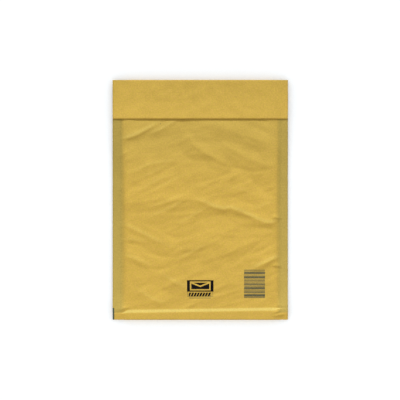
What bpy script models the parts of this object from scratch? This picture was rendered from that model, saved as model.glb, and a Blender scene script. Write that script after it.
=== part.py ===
"""A padded mailing envelope, lying on its back with its flap folded down over the front.

One web of kraft paper makes the flap, the back, the bottom fold and the front. A pouch of bubble
film lines it, and the film's flat edges lie between the two papers in the welded side seams. A
strip of adhesive under its release liner runs along the inside of the flap.
Units are metres: X runs across the envelope, Y up to the flap's fold, and Z is up off the table.
"""

import math

import bmesh
import bpy
from mathutils import Vector

# Outline, seen from above
ENVELOPE_WIDTH = 0.2000
ENVELOPE_HEIGHT = 0.2735
FLAP_DEPTH = 0.0434
LEFT_SEAM_WIDTH = 0.0102
RIGHT_SEAM_WIDTH_AT_MOUTH = 0.0134
RIGHT_SEAM_WIDTH_AT_BOTTOM = 0.0096
SHOULDER_WIDTH = 0.0070

# Thicknesses and the clearance kept between layers that touch
PAPER_THICKNESS = 0.00014
BUBBLE_FILM_THICKNESS = 0.0030
WELDED_FILM_THICKNESS = 0.00012
POCKET_GAP = 0.0005
ADHESIVE_THICKNESS = 0.00008
LINER_THICKNESS = 0.00008
LAYER_CLEARANCE = 0.00025
STRIP_CLEARANCE = 0.00020

# Side seams: they leave the bottom corners half-way up the bottom fold and sag below that
SEAM_SAG = 0.0013
CORNER_RUN = 0.0140

# Flap: clearance over the front paper at the fold, and the spring of its free edge
FLAP_CLEARANCE = 0.0004
FLAP_SPRING = 0.0012
TOP_FOLD_DEPTH = 0.0026
MOUTH_BELOW_FOLD = 0.0014
LINING_BELOW_MOUTH = 0.0010

# Bottom fold, and the bead that the folded film pushes up beside it
BOTTOM_FOLD_RATIO = 0.75
BEAD_DISTANCE_LEFT = 0.0082
BEAD_DISTANCE_RIGHT = 0.0104
BEAD_WIDTH = 0.0036
BEAD_HEIGHT = 0.0002
VALLEY_DEPTH = 0.0006
VALLEY_RUN = 0.0260
MARGIN_FALL = 0.0011
MARGIN_CURVE = 1.5
FOLD_SQUARENESS = 2.6

# Pouch of bubble film: the pocket between its walls, and how blunt its bottom end is
POCKET_INSET = 0.0025
LINING_END_BLUNTNESS = 0.12

# Closure: the adhesive's place from the flap's free edge, and how far its liner covers past it
ADHESIVE_FROM_EDGE = 0.0090
ADHESIVE_WIDTH = 0.0140
LINER_MARGIN = 0.0040

# Creases pressed into the front paper: points along the crest, height and half width
FRONT_CREASES = {
    "long fold to the right seam": (
        ((-0.018, 0.005), (0.000, 0.001), (0.013, -0.006), (0.026, -0.010), (0.040, -0.009),
         (0.051, -0.014), (0.063, -0.021), (0.074, -0.026), (0.086, -0.026)),
        0.0011, 0.0065,
    ),
    "corner fold by the left seam": (
        ((-0.089, 0.070), (-0.076, 0.072), (-0.066, 0.077), (-0.056, 0.083)),
        0.0009, 0.0060,
    ),
    "fold under the flap's left half": (
        ((-0.050, 0.081), (-0.042, 0.082), (-0.034, 0.085), (-0.025, 0.090)),
        0.0007, 0.0060,
    ),
    "upper swell on the right": (
        ((0.024, 0.079), (0.041, 0.079), (0.057, 0.071), (0.080, 0.057)),
        0.0006, 0.0085,
    ),
    "lower swell on the right": (
        ((0.024, 0.063), (0.045, 0.052), (0.064, 0.043), (0.082, 0.035)),
        0.0007, 0.0085,
    ),
    "swell above the middle": (
        ((-0.012, 0.066), (0.003, 0.055), (0.017, 0.046), (0.030, 0.041)),
        0.0005, 0.0080,
    ),
    "fold above the right corner": (
        ((0.053, -0.080), (0.066, -0.076), (0.077, -0.071), (0.087, -0.068)),
        0.0008, 0.0060,
    ),
    "fold falling from the left seam": (
        ((-0.083, -0.031), (-0.063, -0.040), (-0.046, -0.049), (-0.032, -0.055)),
        0.0005, 0.0075,
    ),
    "fold rising to the right seam": (
        ((0.003, -0.070), (0.026, -0.063), (0.043, -0.054), (0.059, -0.046), (0.073, -0.040)),
        0.0005, 0.0075,
    ),
}
CREASE_END_TAPER = 0.0100
CREASE_END_SHARE = 0.2

# Rows and columns of the grids
FLAP_ROW_COUNT = 4
TOP_FOLD_ROW_COUNT = 6
BACK_ROW_COUNT = 3
BOTTOM_FOLD_ROW_COUNT = 8
MARGIN_ROW_COUNT = 3
BEAD_ROW_COUNT = 2
CORNER_ROW_COUNT = 4
FIELD_ROW_COUNT = 58
SEAM_COLUMN_COUNT = 1
SHOULDER_COLUMN_COUNT = 4
FIELD_COLUMN_COUNT = 42
LINING_FIELD_COLUMN_COUNT = 2
LINING_FIELD_ROW_COUNT = 3
LINING_END_ROW_COUNT = 6
STRIP_ROW_COUNT = 4

KRAFT = (0.62, 0.43, 0.09, 1.0)
CLEAR_FILM = (0.82, 0.86, 0.88, 1.0)
TACK = (0.80, 0.76, 0.62, 1.0)
SILICONE_PAPER = (0.86, 0.84, 0.78, 1.0)

# Places seen from above; EDGE_Y is the paper's mid-surface at the top and bottom folds
HALF_WIDTH = ENVELOPE_WIDTH / 2
HALF_HEIGHT = ENVELOPE_HEIGHT / 2
EDGE_Y = HALF_HEIGHT - PAPER_THICKNESS / 2
FLAP_EDGE_Y = HALF_HEIGHT - FLAP_DEPTH
TOP_FOLD_Y = EDGE_Y - TOP_FOLD_DEPTH
MOUTH_Y = TOP_FOLD_Y - MOUTH_BELOW_FOLD

# Levels of the stack, from the table up
BACK_PAPER_LEVEL = PAPER_THICKNESS / 2
LINING_BOTTOM_LEVEL = PAPER_THICKNESS + LAYER_CLEARANCE
POCKET_LEVEL = LINING_BOTTOM_LEVEL + BUBBLE_FILM_THICKNESS
LINING_TOP_LEVEL = POCKET_LEVEL + POCKET_GAP + BUBBLE_FILM_THICKNESS
FRONT_PAPER_LEVEL = LINING_TOP_LEVEL + LAYER_CLEARANCE + VALLEY_DEPTH + PAPER_THICKNESS / 2
STRIP_STACK = 2 * STRIP_CLEARANCE + ADHESIVE_THICKNESS + LINER_THICKNESS
FLAP_LEVEL = FRONT_PAPER_LEVEL + PAPER_THICKNESS + STRIP_STACK + FLAP_CLEARANCE
FOLD_MIDDLE_LEVEL = (BACK_PAPER_LEVEL + FRONT_PAPER_LEVEL) / 2
SEAM_PAPER_OFFSET = WELDED_FILM_THICKNESS / 2 + LAYER_CLEARANCE + PAPER_THICKNESS / 2
LINING_BOTTOM_Y = -HALF_HEIGHT + PAPER_THICKNESS + LAYER_CLEARANCE
LINING_END_DEPTH = BOTTOM_FOLD_RATIO * (LINING_TOP_LEVEL - LINING_BOTTOM_LEVEL) / 2
LINING_MOUTH_Y = MOUTH_Y - LINING_BELOW_MOUTH


def between(a, b, share):
    return a + (b - a) * share


def ease(share):
    share = min(max(share, 0.0), 1.0)
    return share * share * (3 - 2 * share)


def steps(count):
    """Shares from 0 to 1 at the ends of count equal steps."""
    return [i / count for i in range(count + 1)]


def left_pad_edge():
    return -HALF_WIDTH + LEFT_SEAM_WIDTH


def right_pad_edge(y):
    up = (y + HALF_HEIGHT) / ENVELOPE_HEIGHT
    return HALF_WIDTH - between(RIGHT_SEAM_WIDTH_AT_BOTTOM, RIGHT_SEAM_WIDTH_AT_MOUTH, up)


def inside_pad(x, y):
    """Distance from (x, y) in from the nearer side seam; negative on the seam."""
    return min(x - left_pad_edge(), right_pad_edge(y) - x)


def shoulder_rise(x, y):
    """0 on the seams and 1 on the padded field, with a crease at the foot and a round top."""
    share = min(max(inside_pad(x, y) / SHOULDER_WIDTH, 0.0), 1.0)
    return math.sin(share * math.pi / 2)


def seam_level(y):
    """Mid-plane of the welded seams, which the stiff bottom fold holds up at the corners."""
    return FOLD_MIDDLE_LEVEL - SEAM_SAG * ease((y + HALF_HEIGHT) / CORNER_RUN)


def bead_y(x):
    across = (x + HALF_WIDTH) / ENVELOPE_WIDTH
    return -HALF_HEIGHT + between(BEAD_DISTANCE_LEFT, BEAD_DISTANCE_RIGHT, across)


def bottom_profile(x, y):
    """Height of the front paper near the bottom, against the padded field: margin, bead, valley."""
    above_bead = y - bead_y(x)
    if above_bead <= 0:
        down = min(-above_bead / (bead_y(x) + HALF_HEIGHT), 1.0)
        return BEAD_HEIGHT - MARGIN_FALL * down ** MARGIN_CURVE
    if above_bead <= BEAD_WIDTH:
        return between(BEAD_HEIGHT, -VALLEY_DEPTH, ease(above_bead / BEAD_WIDTH))
    return -VALLEY_DEPTH * (1 - ease((above_bead - BEAD_WIDTH) / VALLEY_RUN))


def crease_height(x, y, crest, height, half_width):
    """Height of one crease at (x, y): a smooth ridge along a line of points, lower at its ends."""
    length = sum(math.dist(a, b) for a, b in zip(crest, crest[1:]))
    nearest, along_crest, walked = half_width, 0.0, 0.0
    for a, b in zip(crest, crest[1:]):
        run = math.dist(a, b)
        share = ((x - a[0]) * (b[0] - a[0]) + (y - a[1]) * (b[1] - a[1])) / run ** 2
        share = min(max(share, 0.0), 1.0)
        foot = (between(a[0], b[0], share), between(a[1], b[1], share))
        distance = math.dist((x, y), foot)
        if distance < nearest:
            nearest, along_crest = distance, walked + share * run
        walked += run
    from_end = ease(min(along_crest, length - along_crest) / CREASE_END_TAPER)
    taper = between(CREASE_END_SHARE, 1.0, from_end)
    return height * taper * (1 - (nearest / half_width) ** 2) ** 2


def front_creases(x, y):
    return max(crease_height(x, y, *crease) for crease in FRONT_CREASES.values())


def front_level(x, y):
    """Mid-surface of the front paper."""
    seam = seam_level(y) + SEAM_PAPER_OFFSET
    field = FRONT_PAPER_LEVEL + bottom_profile(x, y) + front_creases(x, y)
    return between(seam, field, shoulder_rise(x, y))


def back_level(x, y):
    """Mid-surface of the back paper, flat on the table under the padding."""
    return between(seam_level(y) - SEAM_PAPER_OFFSET, BACK_PAPER_LEVEL, shoulder_rise(x, y))


def flap_level(y):
    """Mid-surface of the flap, which springs up towards its free edge."""
    down = (TOP_FOLD_Y - y) / (TOP_FOLD_Y - FLAP_EDGE_Y)
    return FLAP_LEVEL + FLAP_SPRING * down ** 2


def fold_outline(turn):
    """Depth and height shares along a fold, as turn goes from 0 (lower run) to 1 (upper run)."""
    angle = math.pi * (turn - 0.5)
    power = 2 / FOLD_SQUARENESS
    depth = max(math.cos(angle), 0.0) ** power
    height = math.copysign(abs(math.sin(angle)) ** power, math.sin(angle))
    return depth, height


def bottom_fold_depth(x):
    return BOTTOM_FOLD_RATIO * (front_level(x, -EDGE_Y) - back_level(x, -EDGE_Y)) / 2


def column_places(field_columns):
    """Columns across the envelope: in the left seam, its shoulder, the field and the right side."""
    places = [("left seam", s) for s in steps(SEAM_COLUMN_COUNT)]
    places += [("left shoulder", s) for s in steps(SHOULDER_COLUMN_COUNT)[1:]]
    places += [("field", s) for s in steps(field_columns)[1:-1]]
    places += [("right shoulder", s) for s in steps(SHOULDER_COLUMN_COUNT)]
    places += [("right seam", s) for s in steps(SEAM_COLUMN_COUNT)[1:]]
    return places


def column_x(place, y, outer=HALF_WIDTH):
    """Where a column lies at height y; its lines follow the edges of the padding."""
    zone, share = place
    left, right = left_pad_edge(), right_pad_edge(y)
    if zone == "left seam":
        return between(-outer, left, share)
    if zone == "left shoulder":
        return left + SHOULDER_WIDTH * share
    if zone == "field":
        return between(left + SHOULDER_WIDTH, right - SHOULDER_WIDTH, share)
    if zone == "right shoulder":
        return right - SHOULDER_WIDTH * (1 - share)
    return between(right, outer, share)


def wall_rows(field_rows):
    """Rows of the front or the back, from the bottom fold up."""
    places = [("margin", s) for s in steps(MARGIN_ROW_COUNT)]
    places += [("bead", s) for s in steps(BEAD_ROW_COUNT)[1:]]
    places += [("corner", s) for s in steps(CORNER_ROW_COUNT)[1:]]
    places += [("field", s) for s in steps(field_rows)[1:]]
    return places


def row_places():
    """Rows along the web, from the flap's free edge round both folds to the front's top edge."""
    places = [("flap", "run", s) for s in steps(FLAP_ROW_COUNT)[:-1]]
    places += [("top fold", "turn", s) for s in steps(TOP_FOLD_ROW_COUNT)]
    places += [("back", zone, s) for zone, s in reversed(wall_rows(BACK_ROW_COUNT)[1:-1])]
    places += [("bottom fold", "turn", s) for s in steps(BOTTOM_FOLD_ROW_COUNT)]
    places += [("front", zone, s) for zone, s in wall_rows(FIELD_ROW_COUNT)[1:]]
    return places


def wall_y(zone, share, x, top):
    """Height up the front or the back of a row; the rows near the bottom follow the bead."""
    bead_top = bead_y(x) + BEAD_WIDTH
    corner_top = bead_top + CORNER_RUN
    if zone == "margin":
        return between(-EDGE_Y + bottom_fold_depth(x), bead_y(x), share)
    if zone == "bead":
        return between(bead_y(x), bead_top, share)
    if zone == "corner":
        return between(bead_top, corner_top, share)
    return between(corner_top, top, share)


def web_point(place, x):
    """Distance up the envelope and height off the table of the web's mid-surface."""
    part, zone, share = place
    if part == "flap":
        y = between(FLAP_EDGE_Y, TOP_FOLD_Y, share)
        return y, flap_level(y)
    if part == "top fold":
        depth, height = fold_outline(1 - share)
        low, high = back_level(x, TOP_FOLD_Y), FLAP_LEVEL
        return TOP_FOLD_Y + TOP_FOLD_DEPTH * depth, (low + high + (high - low) * height) / 2
    if part == "bottom fold":
        depth, height = fold_outline(share)
        run = -EDGE_Y + bottom_fold_depth(x)
        low, high = back_level(x, run), front_level(x, run)
        return run - bottom_fold_depth(x) * depth, (low + high + (high - low) * height) / 2
    if part == "back":
        y = wall_y(zone, share, x, TOP_FOLD_Y)
        return y, back_level(x, y)
    y = wall_y(zone, share, x, MOUTH_Y)
    return y, front_level(x, y)


def new_material(name, color, roughness, alpha=1.0):
    material = bpy.data.materials.new(name)
    material.use_nodes = True
    shader = material.node_tree.nodes["Principled BSDF"]
    shader.inputs["Base Color"].default_value = color
    shader.inputs["Roughness"].default_value = roughness
    shader.inputs["Metallic"].default_value = 0.0
    shader.inputs["Alpha"].default_value = alpha
    material.diffuse_color = color
    return material


def new_object(name, bm, collection, material):
    mesh = bpy.data.meshes.new(name)
    bm.to_mesh(mesh)
    bm.free()
    mesh.shade_smooth()
    part = bpy.data.objects.new(name, mesh)
    collection.objects.link(part)
    if material:
        mesh.materials.append(material)
    return part


def placed_grid(columns, rows, place):
    """A flat grid whose vertex at (column, row) is moved to place(column, row)."""
    bm = bmesh.new()
    across, along = len(columns) - 1, len(rows) - 1
    bmesh.ops.create_grid(bm, x_segments=across, y_segments=along, size=0.5)
    for vertex in bm.verts:
        column = columns[round((vertex.co.x + 0.5) * across)]
        row = rows[round((vertex.co.y + 0.5) * along)]
        vertex.co = place(column, row)
    return bm


def give_thickness(part, thickness):
    solidify = part.modifiers.new("Thickness", "SOLIDIFY")
    solidify.thickness = thickness
    solidify.offset = 0.0
    solidify.use_even_offset = True


def make_kraft_cover(collection):
    """The paper: flap, back, bottom fold and front, folded from one rectangular web."""

    def place(column, row):
        x = column_x(column, web_point(row, 0.0)[0])
        y, z = web_point(row, x)
        return Vector((x, y, z))

    bm = placed_grid(column_places(FIELD_COLUMN_COUNT), row_places(), place)
    cover = new_object("kraft_cover", bm, collection, new_material("Kraft paper", KRAFT, 0.75))
    give_thickness(cover, PAPER_THICKNESS)


def lining_end_share(y):
    """Share of the full thickness near the pouch's rounded bottom end."""
    inward = min((y - LINING_BOTTOM_Y) / LINING_END_DEPTH, 1.0)
    return (1 - (1 - inward) ** FOLD_SQUARENESS) ** (1 / FOLD_SQUARENESS)


def lining_level(x, y, top):
    """Height of the pouch's upper or lower skin."""
    middle = (LINING_TOP_LEVEL + LINING_BOTTOM_LEVEL) / 2
    fall = min(bottom_profile(x, y) + VALLEY_DEPTH, 0.0)
    full = LINING_TOP_LEVEL + fall if top else LINING_BOTTOM_LEVEL
    weld = seam_level(y) + WELDED_FILM_THICKNESS / (2 if top else -2)
    return between(weld, between(middle, full, lining_end_share(y)), shoulder_rise(x, y))


def lining_row_y(place, x):
    zone, share = place
    if zone == "end":
        return LINING_BOTTOM_Y + LINING_END_DEPTH * between(LINING_END_BLUNTNESS, 1.0, share)
    if zone == "margin":
        return between(LINING_BOTTOM_Y + LINING_END_DEPTH, bead_y(x), share)
    return wall_y(zone, share, x, LINING_MOUTH_Y)


def make_bubble_lining(collection, cutters):
    """The pouch of bubble film: two padded walls round the pocket, with flat welded edges."""

    def place(column, row):
        outer = HALF_WIDTH - LAYER_CLEARANCE
        x = column_x(column, lining_row_y(row, 0.0), outer)
        y = lining_row_y(row, x)
        return Vector((x, y, lining_level(x, y, False)))

    rows = [("end", s) for s in steps(LINING_END_ROW_COUNT)] + wall_rows(LINING_FIELD_ROW_COUNT)[1:]
    bm = placed_grid(column_places(LINING_FIELD_COLUMN_COUNT), rows, place)
    lifted = bmesh.ops.extrude_face_region(bm, geom=bm.faces[:])
    for vertex in (v for v in lifted["geom"] if isinstance(v, bmesh.types.BMVert)):
        vertex.co.z = lining_level(vertex.co.x, vertex.co.y, True)
    bmesh.ops.recalc_face_normals(bm, faces=bm.faces[:])
    film = new_material("Bubble film", CLEAR_FILM, 0.25, 0.35)
    lining = new_object("bubble_lining", bm, collection, film)
    cut = lining.modifiers.new("Pocket", "BOOLEAN")
    cut.operation = "DIFFERENCE"
    cut.solver = "EXACT"
    cut.object = make_pocket_cutter(cutters)


def make_pocket_cutter(cutters):
    """The thin space between the two walls, running out past the mouth."""
    bottom = LINING_BOTTOM_Y + BUBBLE_FILM_THICKNESS
    past_mouth = LINING_MOUTH_Y + BUBBLE_FILM_THICKNESS
    bm = bmesh.new()
    bmesh.ops.create_cube(bm, size=1.0)
    for vertex in bm.verts:
        y = past_mouth if vertex.co.y > 0 else bottom
        left = left_pad_edge() + POCKET_INSET
        right = right_pad_edge(y) - POCKET_INSET
        z = POCKET_LEVEL + (POCKET_GAP if vertex.co.z > 0 else 0.0)
        vertex.co = Vector((right if vertex.co.x > 0 else left, y, z))
    pocket = new_object("pocket_cutter", bm, cutters, None)
    pocket.hide_render = True
    pocket.display_type = "WIRE"
    return pocket


def make_flap_strip(name, collection, material, from_edge, width, thickness, below_flap):
    """A strip that follows the inside of the flap from side to side."""
    start = FLAP_EDGE_Y + from_edge
    rows = [start + width * s for s in steps(STRIP_ROW_COUNT)]
    half = HALF_WIDTH - LAYER_CLEARANCE

    def place(x, y):
        return Vector((x, y, flap_level(y) - below_flap))

    strip = new_object(name, placed_grid([-half, half], rows, place), collection, material)
    give_thickness(strip, thickness)


def make_closure(collection):
    """The adhesive on the inside of the flap, and the release liner that covers it."""
    adhesive_below = PAPER_THICKNESS / 2 + STRIP_CLEARANCE + ADHESIVE_THICKNESS / 2
    liner_below = adhesive_below + ADHESIVE_THICKNESS / 2 + STRIP_CLEARANCE + LINER_THICKNESS / 2
    make_flap_strip(
        "adhesive_strip", collection, new_material("Adhesive", TACK, 0.2),
        ADHESIVE_FROM_EDGE, ADHESIVE_WIDTH, ADHESIVE_THICKNESS, adhesive_below,
    )
    make_flap_strip(
        "release_liner", collection, new_material("Release liner", SILICONE_PAPER, 0.35),
        ADHESIVE_FROM_EDGE - LINER_MARGIN, ADHESIVE_WIDTH + 2 * LINER_MARGIN,
        LINER_THICKNESS, liner_below,
    )


def new_collection(name):
    collection = bpy.data.collections.new(name)
    bpy.context.scene.collection.children.link(collection)
    return collection


def main():
    for leftover in list(bpy.data.objects):
        bpy.data.objects.remove(leftover)
    envelope = new_collection("Padded envelope")
    cutters = new_collection("Cutters")
    make_kraft_cover(envelope)
    make_bubble_lining(envelope, cutters)
    make_closure(envelope)


main()
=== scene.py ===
"""Looks of a padded mailing envelope that lies on its back with its flap folded over the front.

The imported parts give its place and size. The kraft sheet, the pouch of bubble film, the line of
adhesive and its liner are made again here, finely enough to show their folds, bubbles and print.
Units are metres: X runs across the envelope, Y up to the flap's fold, and Z is up off the floor.
"""

import math

import bmesh
import bpy
import numpy as np
from bpy.props import FloatProperty, FloatVectorProperty, PointerProperty
from bpy.types import Operator, Panel, PropertyGroup
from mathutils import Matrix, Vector


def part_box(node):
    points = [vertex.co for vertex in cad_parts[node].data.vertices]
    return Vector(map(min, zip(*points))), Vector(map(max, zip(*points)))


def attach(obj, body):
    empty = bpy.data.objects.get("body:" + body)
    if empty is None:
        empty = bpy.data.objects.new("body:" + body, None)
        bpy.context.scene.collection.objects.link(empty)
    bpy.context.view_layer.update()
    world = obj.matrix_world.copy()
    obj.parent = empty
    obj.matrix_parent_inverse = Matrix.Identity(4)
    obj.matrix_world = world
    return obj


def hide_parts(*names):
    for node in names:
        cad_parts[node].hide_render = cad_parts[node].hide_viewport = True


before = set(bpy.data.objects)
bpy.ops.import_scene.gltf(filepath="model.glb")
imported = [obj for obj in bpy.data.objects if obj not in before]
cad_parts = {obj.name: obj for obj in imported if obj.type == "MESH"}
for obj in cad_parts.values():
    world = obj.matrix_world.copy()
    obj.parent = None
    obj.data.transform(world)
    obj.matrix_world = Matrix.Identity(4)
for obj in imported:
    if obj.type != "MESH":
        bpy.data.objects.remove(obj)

bl_info = {
    "name": "Padded envelope",
    "version": (1, 0, 0),
    "blender": (4, 5, 0),
    "location": "View3D > Sidebar > Envelope",
    "description": "Dresses a packed padded envelope in folded kraft paper and bubble film",
    "category": "Object",
}

MM = 0.001
BODY = "root"
COVER_LOW, COVER_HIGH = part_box("kraft_cover")
LINER_LOW, LINER_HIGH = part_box("release_liner")
ADHESIVE_LOW, ADHESIVE_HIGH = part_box("adhesive_strip")
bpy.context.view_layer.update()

# Layers, and the room between them
PAPER = 0.14 * MM
BUBBLE_FILM = 3.0 * MM
WELDED_FILM = 0.12 * MM
POUCH_FILM = 0.09 * MM
POCKET = 0.5 * MM
POCKET_SHARE = 0.3
LAYER_GAP = 0.25 * MM
VALLEY_ROOM = 1.0 * MM
STRIP = 0.08 * MM
STRIP_GAP = 0.20 * MM
STRIP_ROOM = 0.07 * MM
FLAP_GAP = 0.4 * MM

# Side seams and the shoulders beside them
LEFT_FOOT = 9.7 * MM
RIGHT_FOOT = 8.0 * MM
SHOULDER = 10.0 * MM
SHOULDER_POWER = 1.9
FOOT_SOFTNESS = 0.20
SEAM_LEVEL = 2.6 * MM
CORNER_DROP = 0.45 * MM
CORNER_START = 7.3 * MM
CORNER_RUN = 3.0 * MM
CORNER_FALL = 1.1 * MM
CORNER_LIFT = 2.2 * MM
CORNER_LIFT_RUN = 36.0 * MM
SEAM_RISE = 2.4 * MM
SEAM_TILT = 1.3 * MM
RISE_START, RISE_RUN = 0.56, 0.30
SEAM_WAVE = 0.12 * MM
LONG_WAVE, SHORT_WAVE = 19 * MM, 8.3 * MM
SHORT_WAVE_SHARE = 0.6
RIGHT_WAVE_LEAD = 1.3
WAVE_START = 30 * MM

# Top fold, flap and mouth
TOP_FOLD = 2.6 * MM
TOP_FOLD_SQUARENESS = 12.0
MOUTH_BELOW_FOLD = 1.4 * MM
LINING_BELOW_MOUTH = 1.0 * MM
FLAP_SPRING = 0.26 * MM
FLAP_DROOP = 4.0 * MM
FLAP_DROOP_RUN = 34.0 * MM
FLAP_ROOM = 0.7 * MM
FLAP_SOFTNESS = 0.25 * MM
BUMP_X = -21.5 * MM
BUMP_UP = 0.4 * MM
BUMP_HEIGHT = 0.38 * MM
BUMP_REACH = 9.5 * MM
BUMP_FLATNESS = 1.8

# Bottom fold, and the roll that the folded film pushes up above it
BOTTOM_FOLD_RATIO = 0.6
FOLD_SQUARENESS = 6.0
FIELD_SINK = 1.4 * MM
FIELD_SINK_RUN = 75.0 * MM
ROLL_LEFT = 7.2 * MM
ROLL_RIGHT = 10.2 * MM
ROLL_FLANK = 4.6 * MM
ROLL_HEIGHT = 1.0 * MM
ROLL_FALL = 0.5 * MM
ROLL_CURVE = 1.4
ROLL_END = 8.0 * MM
ROLL_END_LEAST = 0.12
ROLL_END_RISE = 0.7
ROLL_PAST_FOOT = 2.4 * MM
ROLL_FOOT_RUN = 4.8 * MM
VALLEY_DEPTH = 0.6 * MM
VALLEY_RUN = 24.0 * MM
VALLEY_RUN_AT_END = 5.0 * MM
VALLEY_WIDENS_FROM = 0.4

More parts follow.
